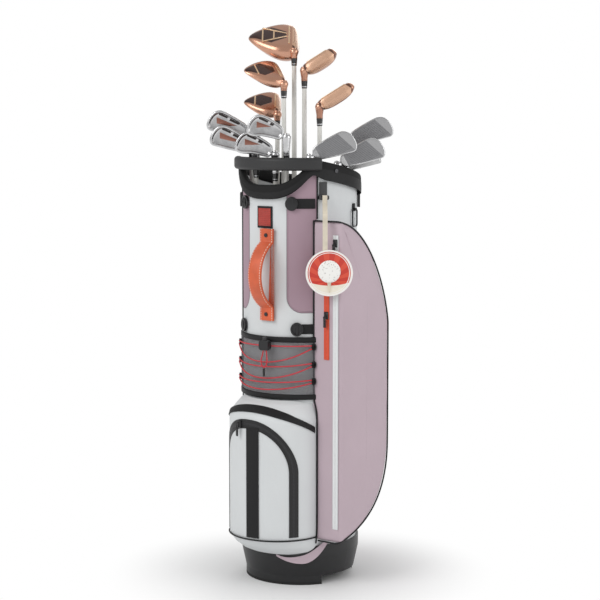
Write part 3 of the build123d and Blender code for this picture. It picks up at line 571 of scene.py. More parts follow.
def cloth(name, columns, rows, rule, thickness, offset=-1, angle=60, closed=False, **settings):
    """A bent sheet with a thickness. A closed one has edges that meet."""
    piece = bent_sheet(name, columns, rows, rule)
    if closed:
        close_up(piece)
    modify(piece, "SOLIDIFY", thickness=thickness, offset=offset, **settings)
    return smooth(piece, angle)


def closed_bar(name, columns, rows, rule):
    """A bent sheet whose long edges meet, with its ends filled."""
    return cap_ends(close_up(bent_sheet(name, columns, rows, rule)))


def band(name, radius, turns, heights, thickness, columns=24, rows=2):
    """A curved strip on the bag, its thickness outwards, with softened edges."""
    low_turn, high_turn = turns
    low, high = heights
    piece = bent_sheet(name, columns, rows, lambda u, v: around(
        radius, low_turn + (high_turn - low_turn) * u, low + (high - low) * v))
    modify(piece, "SOLIDIFY", thickness=thickness, offset=1)
    modify(piece, "BEVEL", width=thickness * 0.35, segments=2, limit_method="ANGLE")
    return smooth(piece, 50)


def cord_curve(name, points, radius, resolution, roundness):
    """A round cord along a smooth NURBS line, still a curve."""
    curve = bpy.data.curves.new(name, "CURVE")
    curve.dimensions = "3D"
    spline = curve.splines.new("NURBS")
    spline.points.add(len(points) - 1)
    for knot, point in zip(spline.points, points):
        knot.co = (*point, 1)
    spline.order_u = 3
    spline.use_endpoint_u = True
    spline.resolution_u = resolution
    curve.bevel_depth = radius
    curve.bevel_resolution = roundness
    holder = bpy.data.objects.new(name, curve)
    bpy.context.collection.objects.link(holder)
    return holder


def line(name, points, radius):
    """A round cord with closed ends, as a mesh."""
    holder = cord_curve(name, points, radius, 6, 2)
    holder.data.use_fill_caps = True
    alone(holder)
    bpy.ops.object.convert(target="MESH")
    return smooth(bpy.context.object, 60)


def between(stages, share):
    """The row of a table at a share of its length, blended from the rows on both sides."""
    place = share * (len(stages) - 1)
    index = min(int(place), len(stages) - 2)
    return [a + (b - a) * (place - index) for a, b in zip(stages[index], stages[index + 1])]


def squircle(angle, power=0.55):
    """A point of a rounded square that reaches 1 each way."""
    c, s = cos(angle), sin(angle)
    return (abs(c) ** power) * (1 if c > 0 else -1), (abs(s) ** power) * (1 if s > 0 else -1)


def ripple(x, y, z, rate=9.0):
    """A slow unevenness from 0 to 1 that is the same on every run."""
    return (noise.noise(Vector((x, y, z)) * rate) + 1) / 2


print("workshop ready")

# %% [markdown]
# ## The shell and its collar
# The shell is one tube of fabric over a stiff liner. Its mouth is a slanted plane with a U-shaped dip at the
# front, under the handle bar. The padded collar follows that mouth all round: its section is a soft
# rectangle, and a woven ribbon is sewn along its lower edge.

# %% The height of the mouth
RIM_SEAM = (0.870, -0.070)
RIM_FALL = 0.24
DIP_LOW = 0.820
DIP_EDGE = 0.8826
DIP_HALF = 0.096


def rim(turn, radius=0.119):
    """Height of the collar's top at a turn."""
    spot = around(radius, turn)
    plane = RIM_SEAM[0] - RIM_FALL * (spot.y - RIM_SEAM[1])
    if spot.y > 0 or abs(spot.x) > DIP_HALF:
        return plane
    return min(plane, DIP_LOW + (DIP_EDGE - DIP_LOW) * (abs(spot.x) / DIP_HALF) ** 3.16)


# %% Roll the shell
TUBE = 0.118
SHELL_LOW = 0.0455


def shell_rule(u, v):
    turn = 360 * u - 180
    height = SHELL_LOW + (rim(turn) - 0.020 - SHELL_LOW) * v
    spot = around(1, turn, height)
    sag = 0.0007 * ripple(spot.x, spot.y, height * 4, 2.4) + 0.0003 * ripple(spot.x, spot.y, height, 22)
    return around(TUBE - sag, turn, height)


shell = cloth("shell", 160, 70, shell_rule, 0.0028, closed=True, use_rim=True, material_offset=1,
              material_offset_rim=1)
deliver(shell, [shell_finish, lining_fabric], stands_for="body_tube", slot="panel_fabric")
print("shell faces:", len(shell.data.polygons))

# %% Stuff the collar
CUFF_MIDDLE = 0.119
CUFF_HALF = 0.0072
CUFF_DEPTH = 0.029


def cuff_rule(u, v):
    turn = 360 * u - 180
    out, up = squircle(2 * pi * v)
    puff = 1 + 0.05 * (ripple(turn / 14, up, 0, 1.0) - 0.5)
    middle = rim(turn) - CUFF_DEPTH / 2
    return around(CUFF_MIDDLE + CUFF_HALF * out * puff, turn, middle + CUFF_DEPTH / 2 * up * puff)


collar = smooth(close_up(bent_sheet("padded_collar", 192, 20, cuff_rule)), 80)
deliver(collar, cuff_fabric, stands_for="collar_cuff", slot="cuff_fabric")


RIBBON_THICK = 0.0009
PIPING = 0.0017         # radius


def ribbon_rule(u, v):
    turn = 360 * u - 180
    lower = 0.010 * min(max((abs(turn) - 44) / 16, 0), 1)
    low = rim(turn) - CUFF_DEPTH + 0.0015 - lower
    return around(0.1265 + 0.0004 * sin(pi * v), turn, low + (0.0125 + lower) * v)


deliver(cloth("collar_ribbon", 192, 3, ribbon_rule, RIBBON_THICK, closed=True), black_webbing)


def seam_line(turn, low, high, radius=TUBE + 0.0004):
    return [around(radius, turn, low + (high - low) * i / 8) for i in range(9)]


GUSSET_TURN = 50.4      # where the side pocket's front wall meets the shell
beside_ball_pocket = [Vector(p) for p in (
    (0.0990, -0.0768, 0.366), (0.1014, -0.0770, 0.350), (0.1014, -0.0770, 0.200), (0.1014, -0.0770, 0.108),
    (0.0985, -0.0770, 0.090))]
seams = [seam_line(-SEAM_TURN, 0.086, 0.838), seam_line(SEAM_TURN, 0.752, 0.838),
         seam_line(GUSSET_TURN, 0.750, 0.388, TUBE + 0.0012) + beside_ball_pocket,
         seam_line(-BACK_TURN, 0.086, 0.815), seam_line(BACK_TURN, 0.086, 0.815)]
deliver(join("shell_piping", [line("piping", seam, PIPING) for seam in seams]), piping_fabric)
print("collar, ribbon and piping made")

# %% [markdown]
# ## The ball pocket
# The pocket for balls stands out from the shell as a round belly that is drawn in at its foot and its top.
# Its plan is part of a circle in front of the bag's axis, so its rows are rings of their own radius and
# centre, and its zip is an arch laid on the same circle.

# %% Loft the belly
POCKET_STAGES = [  # height, radius, distance of the centre in front of the axis
    (0.066, 0.096, 0.032), (0.072, 0.0975, 0.044), (0.084, 0.0992, 0.060), (0.100, 0.1000, 0.0735),
    (0.108, 0.1000, 0.0760), (0.190, 0.1000, 0.0760), (0.270, 0.1000, 0.0760), (0.346, 0.1000, 0.0760),
    (0.356, 0.0990, 0.0735), (0.368, 0.0955, 0.063), (0.378, 0.0920, 0.052), (0.3845, 0.0880, 0.040),
]


POCKET_RADIUS = 0.1
POCKET_FORWARD = 0.076  # the centre of the belly's middle, in front of the axis
SEWN_IN = TUBE - 0.001  # where the belly's edges are sewn into the shell


def on_pocket(turn, height, radius=POCKET_RADIUS, centre=POCKET_FORWARD):
    spot = around(radius, turn, height)
    return Vector((spot.x, spot.y - centre, height))


def pocket_rule(u, v):
    height, radius, centre = between(POCKET_STAGES, v)
    turn = -104 + 208 * u
    spot = on_pocket(turn, height, radius, centre)
    gathered = 1 if height < 0.11 or height > 0.352 else 0.3
    sag = 0.0010 * ripple(spot.x, spot.y, height, 16) + 0.0012 * ripple(spot.x, spot.y, height, 45) * gathered
    spot = on_pocket(turn, height, radius - sag, centre)
    reach = Vector((spot.x, spot.y)).length
    if reach < SEWN_IN:
        spot.x, spot.y = spot.x * SEWN_IN / reach, spot.y * SEWN_IN / reach
    return spot


deliver(cloth("ball_pocket_belly", 90, 44, pocket_rule, 0.0026), white_fabric, stands_for="ball_pocket",
        slot="panel_fabric")
foot_seam = [on_pocket(-88 + 176 * i / 20, 0.1035, POCKET_RADIUS + 0.0008) for i in range(21)]
foot_piping = line("piping", foot_seam, PIPING)
deliver(foot_piping, piping_fabric)
foot_piping.name = "ball_pocket_piping"
centre_band = cloth("ball_pocket_band", 8, 30, lambda u, v: on_pocket(
    -1.5 + 16.5 * u, 0.108 + 0.226 * v, POCKET_RADIUS + 0.0004), RIBBON_THICK, offset=1, angle=50)
deliver(centre_band, black_webbing)


def pocket_at(height):
    """Radius and centre of the belly at a height."""
    for (low, *a), (high, *b) in zip(POCKET_STAGES, POCKET_STAGES[1:]):
        if height <= high:
            share = (height - low) / (high - low)
            return [p + (q - p) * share for p, q in zip(a, b)]


def crown_rule(u, v):
    turn = -88 + 174 * u
    height = 0.3755 - 0.046 * (turn / 88) ** 2 - 0.0125 * (1 - v)
    radius, centre = pocket_at(height)
    return on_pocket(turn, height, radius + 0.0006, centre)


deliver(cloth("ball_pocket_crown_band", 64, 6, crown_rule, RIBBON_THICK, offset=1), black_webbing)


def flap_rule(u, v):
    turn = 14 + 50 * u
    low = 0.0475 + 0.040 * (2 * u - 1) ** 2 * (0.35 if u < 0.5 else 1)
    return around(0.1232, turn, low + (0.004 + 0.026 * u * sin(pi * min(u * 1.02, 1)) ** 0.5) * v)


deliver(cloth("base_flap", 40, 6, flap_rule, RIBBON_THICK, offset=1), side_fabric)
print("belly, piping, bands and flap made")


# %% Lay the arched zip
ARCH_MIDDLE = 0.240
ARCH_LOW = 0.110
ARCH_OUTER = (0.089, 0.110)
ARCH_INNER = (0.078, 0.091)
ARCH_RADIUS = 0.1006
ARCH_LENGTH = 0.55
ARCH_WIDTH = 0.015
ARCH_LEG = 0.22         # share of the length in each straight leg


def arch_point(u, size):
    """A point along the arch, from its left foot over the top to its right foot."""
    if u < ARCH_LEG:
        return -size[0], ARCH_LOW + (ARCH_MIDDLE - ARCH_LOW) * u / ARCH_LEG
    if u > 1 - ARCH_LEG:
        return size[0], ARCH_LOW + (ARCH_MIDDLE - ARCH_LOW) * (1 - u) / ARCH_LEG
    angle = pi * (u - ARCH_LEG) / (1 - 2 * ARCH_LEG)
    flat = abs(cos(angle)) ** 0.85 * (1 if angle < pi / 2 else -1)
    return -size[0] * flat, ARCH_MIDDLE + size[1] * sin(angle)


def arch_rule(u, v):
    inner, outer = arch_point(u, ARCH_INNER), arch_point(u, ARCH_OUTER)
    x = inner[0] + (outer[0] - inner[0]) * v
    return Vector((x, -POCKET_FORWARD - sqrt(ARCH_RADIUS ** 2 - x * x), inner[1] + (outer[1] - inner[1]) * v))


def by_uv(index, size, middle=0.0):
    """Reads one side of the piece's own map, in metres."""
    def read(finish):
        return (finish.parts(finish.node("TexCoord", output=2))[index] - middle) * size
    return read


arch = cloth("ball_zip", 96, 6, arch_rule, 0.0014, angle=50)
ball_zip_finish = zip_finish("black_zip", "111113", "2C2C2F", by_uv(0, ARCH_LENGTH), by_uv(1, ARCH_WIDTH, 0.5))
deliver(arch, ball_zip_finish, stands_for="ball_zip_tape", slot="black_webbing")
print("arched zip laid:", len(arch.data.polygons), "faces")

# %% [markdown]
# ## The side pocket
# The big pocket on the right is a box of fabric with a straight front edge and a rounded back edge. Its
# outline is a closed curve; copies of that curve, each moved outwards or drawn in, give the walls, the
# rounded edge and the crowned outer panel. A black piping is sewn round that panel.

# %% Draw the outline of the side pocket
FRONT, REAR = -0.075, 0.097
LOW, HIGH = 0.095, 0.750
BEND_LOW, BEND_HIGH = 0.285, 0.535
FRONT_POINTS = 40       # of the outline, up the straight front edge


def bezier(points, share):
    while len(points) > 1:
        points = [a.lerp(b, share) for a, b in zip(points, points[1:])]
    return points[0]


def side_outline():
    """The closed outline as (depth, height) points, from the front foot up, over and down the back."""
    upper = [Vector(p) for p in ((FRONT, HIGH), (0.005, 0.743), (0.080, 0.640), (REAR, BEND_HIGH))]
    lower = [Vector(p) for p in ((REAR, BEND_LOW), (REAR, 0.180), (0.040, 0.118), (FRONT, LOW))]
    points = [Vector((FRONT, LOW + (HIGH - LOW) * i / FRONT_POINTS)) for i in range(FRONT_POINTS)]
    points += [bezier(upper, i / 20) for i in range(20)]
    points += [Vector((REAR, BEND_HIGH + (BEND_LOW - BEND_HIGH) * i / 16)) for i in range(16)]
    points += [bezier(lower, i / 20) for i in range(20)]
    return points


outline = side_outline()
SPINE_DEPTH = 0.012     # depth of the line on which the outline closes in the panel's middle
SQUARE_INSET = 0.012    # the inset up to which the outline keeps its distance from itself
SPINE_INSET = 0.090     # the inset at which it has reached that line


def drawn_in(index, inset):
    """An outline point moved inwards by an inset, first at right angles and then towards the spine."""
    here = outline[index % len(outline)]
    before, after = outline[index - 1], outline[(index + 1) % len(outline)]
    along = (after - before).normalized()
    inwards = Vector((along.y, -along.x))
    moved = here + inwards * min(inset, SQUARE_INSET)
    share = max(inset - SQUARE_INSET, 0) / (SPINE_INSET - SQUARE_INSET)
    spine = Vector((SPINE_DEPTH, min(max(moved.y, LOW + 0.15), HIGH - 0.16)))
    return moved.lerp(spine, min(share, 1))


print("outline points:", len(outline))

# %% Build the pocket
SIDE_STAGES = [  # distance from the bag's middle plane, inset of the outline
    (0.080, 0.0), (0.100, 0.0), (0.120, 0.0), (0.136, 0.0), (0.150, 0.0), (0.1555, 0.0016), (0.1588, 0.0052),
    (0.160, 0.010), (0.1612, 0.018), (0.1622, 0.028), (0.1630, 0.042), (0.1636, 0.060), (0.1638, 0.0899),
]


def side_rule(u, v):
    index = round(u * len(outline))
    stage = v * (len(SIDE_STAGES) - 1)
    x, inset = SIDE_STAGES[round(stage)]
    spot = drawn_in(index, inset)
    sag = 0.0022 * ripple(x, spot.x, spot.y, 11) + 0.0012 * ripple(x, spot.x, spot.y, 34)
    return Vector((x - sag, spot.x, spot.y))


side_pocket = bent_sheet("side_pocket_bag", len(outline), len(SIDE_STAGES) - 1, side_rule)
close_up(side_pocket, 0.0003)
modify(side_pocket, "SUBSURF", levels=1, render_levels=1)
modify(side_pocket, "SOLIDIFY", thickness=0.0024, offset=-1)
smooth(side_pocket, 60)
deliver(side_pocket, side_fabric, stands_for="side_pocket", slot="pink_fabric")

round_edge = [Vector((0.1572, *drawn_in(i, 0.0028))) for i in range(FRONT_POINTS + 1, len(outline))]
top_edge = [Vector((x, FRONT - 0.0004, HIGH - 0.001)) for x in (0.094, 0.110, 0.126, 0.142, 0.153)]
foot_edge = [Vector((x, FRONT - 0.0004, LOW + 0.001)) for x in (0.153, 0.142, 0.126, 0.110, 0.103)]
deliver(line("side_pocket_piping", top_edge + round_edge + foot_edge, PIPING), piping_fabric)
print("side pocket faces:", len(side_pocket.data.polygons))

# %% [markdown]
# ## Zips and sliders
# A welded zip is a flat tape with a coil along its middle. Its slider is a small metal saddle with a bridge,
# and a puller of corded webbing with a moulded end hangs from the bridge.

# %% Lay the straight zips
TAPE_WIDTH = 0.013


def tape(name, middle, low, high, finish, node, slot):
    piece = bent_sheet(name, 4, 40, lambda u, v: Vector(
        (middle + (u - 0.5) * TAPE_WIDTH, FRONT - 0.0001, low + (high - low) * v)))
    modify(piece, "SOLIDIFY", thickness=0.0015, offset=1)
    modify(piece, "BEVEL", width=0.0005, segments=2, limit_method="ANGLE")
    return deliver(smooth(piece, 50), finish, stands_for=node, slot=slot)


tape("side_zip", SIDE_ZIP_X, 0.125, 0.722, side_zip, "side_zip_tape", "white_zip")
tape("gusset_zip", GUSSET_ZIP_X, 0.470, 0.612, gusset_zip, "gusset_zip_tape", "red_zip")
print("two straight zips laid")


# %% Make a slider
def facing(spot, turn):
    """A matrix that puts a piece at a spot with its z pointing out at a turn and its y pointing up."""
    out, side = around(1, turn), around(1, turn + 90)
    return Matrix.Translation(spot) @ Matrix((side, (0, 0, 1), out)).transposed().to_4x4()


def block(name, size, middle, bevel=0.0006, segments=2):
    piece = start("cube", name, size=1, location=middle)
    piece.scale = size
    alone(piece)
    bpy.ops.object.transform_apply(location=True, rotation=True, scale=True)
    modify(piece, "BEVEL", width=bevel, segments=segments)
    return piece


def taper_top(piece, share, above):
    """Draws in what lies above a height, in edit mode."""
    alone(piece)
    for corner in piece.data.vertices:
        corner.select = corner.co.z > above
    for side in list(piece.data.edges) + list(piece.data.polygons):
        side.select = all(piece.data.vertices[i].select for i in side.vertices)
    bpy.ops.object.mode_set(mode="EDIT")
    bpy.ops.transform.resize(value=(share, share, 1))
    bpy.ops.object.mode_set(mode="OBJECT")
    return piece


def hoop(name, radius, wire, segments=20, sides=8, **spot):
    return start("torus", name, major_radius=radius, minor_radius=wire, major_segments=segments,
                 minor_segments=sides, **spot)


def slider(name, place, body, node):
    saddle = taper_top(block("saddle", (0.0105, 0.0155, 0.0032), (0, 0, 0.0016)), 0.8, 0.0025)
    bridge = hoop("bridge", 0.0038, 0.0008, rotation=(0, pi / 2, 0), location=(0, 0, 0.0030))
    loop = hoop("loop", 0.0030, 0.0009, location=(0, -0.0040, 0.0058))
    pull = taper_top(block("pull", (0.0058, 0.0185, 0.0024), (0, -0.0146, 0.0062), 0.0008, 3), 0.82, 0.0068)
    grips = [block("rib", (0.0046, 0.0009, 0.0010), (0, -0.009 - 0.0026 * i, 0.0075), 0.0003) for i in range(5)]
    piece = join(name, [saddle, bridge, loop, pull] + grips)
    put_in_place(piece, place)
    return deliver(smooth(piece, 45), buckle_plastic, body=body, stands_for=node, slot="black_plastic")


BALL_SLIDER_TURN = -12
for zip_name, spot, turn in [
        ("side", Vector((SIDE_ZIP_X, FRONT - 0.0018, 0.706)), 0),
        ("gusset", Vector((GUSSET_ZIP_X, FRONT - 0.0018, 0.560)), 0),
        ("ball", on_pocket(BALL_SLIDER_TURN, 0.338, POCKET_RADIUS + 0.0020), BALL_SLIDER_TURN)]:
    slider(f"{zip_name}_slider_pull", facing(spot, turn), f"{zip_name}_slider", f"{zip_name}_zip_slider")
print("three sliders made")

# %% [markdown]
# ## The net and its lace
# An open net covers a small pocket on the front. A red elastic runs to and fro over it through small loops,
# and a sprung cord lock holds its two ends; the last of the elastic hangs below the lock in a loop.

# %% Stretch the net
NET_LOW, NET_HIGH = 0.397, 0.503
net_panel = bent_sheet("mesh_pocket_net", 60, 12, lambda u, v: around(
    0.1212 + 0.0006 * sin(pi * u) * sin(pi * v), SEAM_TURN * (2 * u - 1), NET_LOW + (NET_HIGH - NET_LOW) * v))
smooth(net_panel, 60)
deliver(net_panel, net, stands_for="mesh_panel", slot="mesh")

HEM_REACH = TUBE + 0.0003
HEM_TURN, HEM_INNER = 56, 53.6
HEM_WIDTH = 0.0110
hem_parts = [band("hem", HEM_REACH, (-HEM_TURN, HEM_TURN), (low, low + HEM_WIDTH), 0.0045, 60)
             for low in (NET_HIGH, NET_LOW - HEM_WIDTH)]
hem_parts += [band("hem", HEM_REACH, turns, (NET_LOW, NET_HIGH), 0.0040, 2, 10)
              for turns in ((-HEM_TURN, -HEM_INNER), (HEM_INNER, HEM_TURN))]
deliver(join("mesh_pocket_hem", hem_parts), black_webbing, stands_for="mesh_hem", slot="black_webbing")
print("net and hem made")

# %% Thread the lace
LACE_RADIUS = 0.0014
LACE_REACH = 0.1266
LACE_TURN = 47.8
LACE_ROWS = [
    (0.493, 0.495, 0.497), (0.487, 0.461, 0.491), (0.456, 0.452, 0.461), (0.450, 0.428, 0.455),
    (0.421, 0.420, 0.427), (0.415, 0.405, 0.421),
]


def lace_point(row, share):
    left, middle, right = row
    chord = left + (right - left) * (share + 1) / 2
    return around(LACE_REACH, LACE_TURN * share, chord + (middle - (left + right) / 2) * (1 - share * share))


laces = [line("lace", [lace_point(row, -1 + i / 5) for i in range(11)], LACE_RADIUS) for row in LACE_ROWS]
deliver(join("elastic_lace", laces), elastic, stands_for="lace_cord", slot="red_elastic")

LOCK_TURN = 5.0
LOCK_REACH = 0.1343
LOCK_LOW = 0.487
TAIL_POINTS = [
    (-0.0035, -0.0003), (-0.0050, -0.0090), (-0.0100, -0.0220), (-0.0065, -0.0340),
    (0.0005, -0.0360), (0.0055, -0.0250), (0.0045, -0.0090), (0.0035, -0.0003),
]
lock_side = around(1, LOCK_TURN + 90)
tail_route = [around(LOCK_REACH, LOCK_TURN, LOCK_LOW + down) + lock_side * across
              for across, down in TAIL_POINTS]
tail = cord_curve("lace_tail", tail_route, LACE_RADIUS, 8, 3)
tail.data.materials.append(elastic.material)
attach(tail, "bag")
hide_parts("lace_cord")
made.append("lace_tail")
tuple(tail_route[0])

end_cap = start("cylinder", "lace_end", vertices=20, radius=0.0026, depth=0.016,
                location=tail_route[4] - lock_side * 0.003 + Vector((0, 0, -0.0096)))
modify(end_cap, "BEVEL", width=0.0008, segments=3, limit_method="ANGLE")
put_in_place(smooth(end_cap), Matrix.Identity(4))
deliver(end_cap, buckle_plastic)

LOOP_PLACES = [(-50, 0.490), (-50, 0.453), (-50, 0.418), (50, 0.494), (50, 0.458), (50, 0.424)]
loops = []
for loop_turn, loop_height in LOOP_PLACES:
    eye = hoop("eye", 0.0042, 0.0015, 24, 10)
    eye.scale = (0.8, 1.25, 1.2)
    foot = block("foot", (0.0085, 0.0125, 0.0016), (0, 0, -0.0022), 0.0006)
    both = join("loop", [eye, foot])
    loops.append(put_in_place(both, facing(around(LACE_REACH - 0.0016, loop_turn, loop_height), loop_turn)))
deliver(smooth(join("lace_eyelets", loops), 50), black_webbing, stands_for="lace_loops", slot="black_webbing")
print("lace rows:", len(LACE_ROWS), "eyelets:", len(LOOP_PLACES))

# %% [markdown]
# ## The carry handle and the front fittings
# The handle is a thick strap of orange leather that arches out from the front. It is one bar with a rounded
# section swept along that arch, with flat tabs at its ends under two rivets, and a pale thread along both
# edges.

# %% Sweep the carry handle
HANDLE_X = 0.008
HANDLE_WIDTH = 0.035
HANDLE_LOW, HANDLE_HIGH = 0.546, 0.732
TAB_SHARE, TAB_LENGTH, TAB_REACH = 0.16, 0.0270, 0.1212
ARCH_HALF = 62          # degrees of the arch on each side of its middle


def handle_path(share):
    """Depth and height of the strap's middle, from its lower tab to its upper one, and which way is out."""
    if share < TAB_SHARE:
        return Vector((-TAB_REACH, HANDLE_LOW + TAB_LENGTH * share / TAB_SHARE)), Vector((-1, 0))
    if share > 1 - TAB_SHARE:
        return Vector((-TAB_REACH, HANDLE_HIGH - TAB_LENGTH * (1 - share) / TAB_SHARE)), Vector((-1, 0))
    angle = radians(-ARCH_HALF + 2 * ARCH_HALF * (share - TAB_SHARE) / (1 - 2 * TAB_SHARE))
    out = Vector((-cos(angle), sin(angle)))
    return Vector((-0.0879, (HANDLE_LOW + HANDLE_HIGH) / 2)) + out * 0.0731, out


def handle_rule(u, v):
    spot, out = handle_path(v)
    across, up = squircle(2 * pi * u, 0.42)
    thick = 0.0029 * (1 + 0.22 * sin(pi * v))
    move = out * (up * thick * (1 - 0.25 * abs(across) ** 3))
    half = HANDLE_WIDTH / 2 * (1 - 0.06 * sin(pi * v))
    return Vector((HANDLE_X + half * across, spot.x + move.x, spot.y + move.y))


handle = smooth(closed_bar("leather_handle", 40, 60, handle_rule), 70)
handle_x, _, handle_z = orange_leather.parts()
edge_run = (handle_x - HANDLE_X).size()
thread_row = 1 - (edge_run - 0.0138).size().soft_step(0.0003, 0.0008)
thread = thread_row * (handle_z * (2 * pi / 0.005)).sine().soft_step(-0.5, -0.2)
leather_colour, leather_bump = (
    Wire(orange_leather, orange_leather.shader.inputs[socket].links[0].from_socket)
    for socket in ("Base Color", "Normal"))
# The leather is painted darker along both rounded edges, as shade where they turn from the light.
edge_shade = orange_leather.mix(edge_run.soft_step(0.0155, 0.0175), leather_colour, paint("B8481F"))
orange_leather.put("Base Color", orange_leather.mix(thread, edge_shade, paint("F2E2D2")))
orange_leather.put("Normal", orange_leather.bump(thread - thread_row * 0.5, 0.8, 0.0009, after=leather_bump))
deliver(handle, orange_leather, stands_for="carry_handle", slot="orange_leather")
print("handle made")

# %% Sew on the badge, buckles and webbing
BADGE = 0.755           # height of its middle
QUILT = 0.0075
plate = band("badge_border", TUBE, (-9.2, 9.2), (BADGE - 0.022, BADGE + 0.022), 0.0014, 12, 6)
deliver(plate, black_webbing, stands_for="badge_patch", slot="red_patch")
badge_red = Finish("red_stitched_patch")
red_x, _, red_z = badge_red.parts()
quilt = ((red_x + red_z) * (2 * pi / QUILT)).sine() * ((red_x - red_z) * (2 * pi / QUILT)).sine()
dress_fabric(badge_red, badge_red.mix(quilt.soft_step(-0.1, 0.1), paint("C74A42"), paint("D9554A")), 0.85, 0.5,
             0.0009, 0.1, 0.3, dents=quilt.size())
centre = band("badge_centre", TUBE + 0.0012, (-7.4, 7.4), (BADGE - 0.0178, BADGE + 0.0178), 0.0011, 12, 6)
deliver(centre, badge_red)

BUCKLES = [(29, 0.783), (34, 0.530), (-29, 0.783), (-34, 0.530)]
STRIP_END = 52
strips = [band("strip", TUBE, sorted((turn, STRIP_END if turn > 0 else -STRIP_END)), (up - 0.010, up + 0.010),
               0.0015, 14, 6) for turn, up in BUCKLES]
deliver(join("buckle_straps", strips), black_webbing, stands_for="buckle_webbing", slot="black_webbing")


def sink_faces(piece, way, share, inset, depth):
    """Insets the faces that look one way and pushes them in, in edit mode."""
    alone(piece)
    for face in piece.data.polygons:
        face.select = face.normal.dot(Vector(way)) > share
    bpy.ops.object.mode_set(mode="EDIT")
    bpy.ops.mesh.select_mode(type="FACE")
    bpy.ops.mesh.inset(thickness=inset, depth=0)
    bpy.ops.mesh.extrude_region_move(TRANSFORM_OT_translate={"value": [-depth * part for part in way]})
    bpy.ops.object.mode_set(mode="OBJECT")
    return piece


def dish(name, half_size, thick, vertices, rim_inset, sunk, bevel):
    """An oval plate from a bevelled disc, its face set back inside a rim."""
    plate = start("cylinder", name, vertices=vertices, radius=1, depth=1, end_fill_type="NGON")
    plate.scale = (*half_size, thick)
    plate.location.z = thick / 2
    put_in_place(plate, Matrix.Identity(4))
    sink_faces(plate, (0, 0, 1), 0.9, rim_inset, sunk)
    return modify(plate, "BEVEL", width=bevel, segments=3, limit_method="ANGLE")


def buckle(name, place):
    """A round-ended buckle: a small dish with a bar across it."""
    bowl = dish(name, (0.0130, 0.0140), 0.0052, 40, 0.0034, 0.0028, 0.0009)
    bar = block("bar", (0.0042, 0.0215, 0.0030), (0.0005, 0, 0.0040), 0.0010, 3)
    return put_in_place(join(name, [bowl, bar]), place)


clasps = [buckle("clasp", facing(around(TUBE + 0.0016, t, h), t)) for t, h in BUCKLES]
deliver(smooth(join("round_buckles", clasps), 40), buckle_plastic, stands_for="strap_buckles",
        slot="black_plastic")
print("badge, straps and buckles sewn on")

# %% [markdown]
# ## Rings, tag and shoulder strap
# The towel ring is bent wire and stays as it was drawn; its tab is a folded piece of webbing. The tag is an
# oval of moulded plastic with a raised rim. It shows a plain golf ball on a tee before a red field, and it
# hangs from a cream leather strap, which is a thin band swept along its way from the ring to the tag.

# %% Fold the towel tab and hang the tag
towel_place = facing(around(TUBE, 104, 0.772), 104)
tab_piece = block("towel_tab", (0.0118, 0.0158, 0.0024), (0, 0, 0.0012), 0.0008)
roll = start("cylinder", "roll", vertices=24, radius=0.0031, depth=0.0116, location=(0, -0.0044, 0.0038),
             rotation=(0, pi / 2, 0))
modify(roll, "BEVEL", width=0.0006, segments=2, limit_method="ANGLE")
towel_tab = put_in_place(join("towel_tab", [tab_piece, roll]), towel_place)
deliver(smooth(towel_tab), black_webbing, stands_for="towel_ring_tab", slot="black_webbing")

TAG_HEADING = 37.0
TAG_ASIDE, TAG_UP = 0.058, 0.648    # middle of the tag, across its heading and above the floor
SUN_UP = 0.632                      # height from which the printed rays spread
tag_side, tag_out = around(1, TAG_HEADING + 90), around(1, TAG_HEADING)
tag_place = facing(tag_out * 0.160 + tag_side * TAG_ASIDE + Vector((0, 0, TAG_UP)), TAG_HEADING)
tag_plate = put_in_place(dish("tag_plate", (0.047, 0.046), 0.0034, 72, 0.0034, 0.0008, 0.0008), tag_place)
tag_face = Finish("tag_print", roughness=0.3)
tag_x, tag_y, tag_z = tag_face.parts()
tag_aside = tag_x * tag_side.x + tag_y * tag_side.y - TAG_ASIDE
tag_height = (tag_z - TAG_UP) * 1000
tag_across = tag_aside * 1000
tag_reach = (tag_across * tag_across + tag_height * tag_height).math("SQRT")
sun_rays = (tag_aside.math("ARCTAN2", tag_z - SUN_UP) * 14).sine()
field = tag_face.mix(sun_rays.soft_step(-0.05, 0.05), paint("D9503A"), paint("C93A2C"))
turf_line = tag_height + 25 - tag_across * tag_across * 0.004
field = tag_face.mix(turf_line.soft_step(-0.3, 0.3), paint("EDE6D6"), field)
brim = (tag_reach - 40.2).size().soft_step(0.5, 0.9)
field = tag_face.mix(brim, paint("F4F2EE"), field)
tag_face.put("Base Color", tag_face.mix(tag_reach.soft_step(42.4, 42.9), field, paint("F4F2EE")))
tag_face.put("Roughness", tag_face.noise(40.0) * 0.15 + 0.22)
tag_face.put("Normal", tag_face.bump(brim, 0.3, 0.0003))
deliver(smooth(tag_plate), tag_face, body="tag", stands_for="golf_tag", slot="tag_plastic")
tag_ball = start("uv_sphere", "tag_ball", segments=56, ring_count=28, radius=1)
tag_ball.scale = (0.0225, 0.0225, 0.0040)
tag_ball.location.z = 0.0030
put_in_place(put_in_place(tag_ball, Matrix.Identity(4)), tag_place @ Matrix.Translation((0, 0.003, 0)))
ball_gloss = Finish("dimpled_ball_white", roughness=0.25)
dimples = ball_gloss.cells(230.0).soft_step(0.0, 0.42)
# The dimples' hollows are painted grey as shade.
ball_gloss.put("Base Color", ball_gloss.mix(dimples, paint("B9B6B1"), paint("F6F5F1")))
ball_gloss.put("Normal", ball_gloss.bump(dimples, 0.6, 0.0012))
deliver(smooth(tag_ball), ball_gloss, body="tag")
tee = start("cone", "tag_tee", vertices=20, radius1=0.0012, radius2=0.0040, depth=0.020, location=(0, 0, 0))
put_in_place(tee, Matrix.Rotation(-pi / 2, 4, "X") @ Matrix.Scale(1, 4))
put_in_place(tee, tag_place @ Matrix.Translation((0, -0.029, 0.0030)))
deliver(smooth(tee), cream_leather, body="tag")

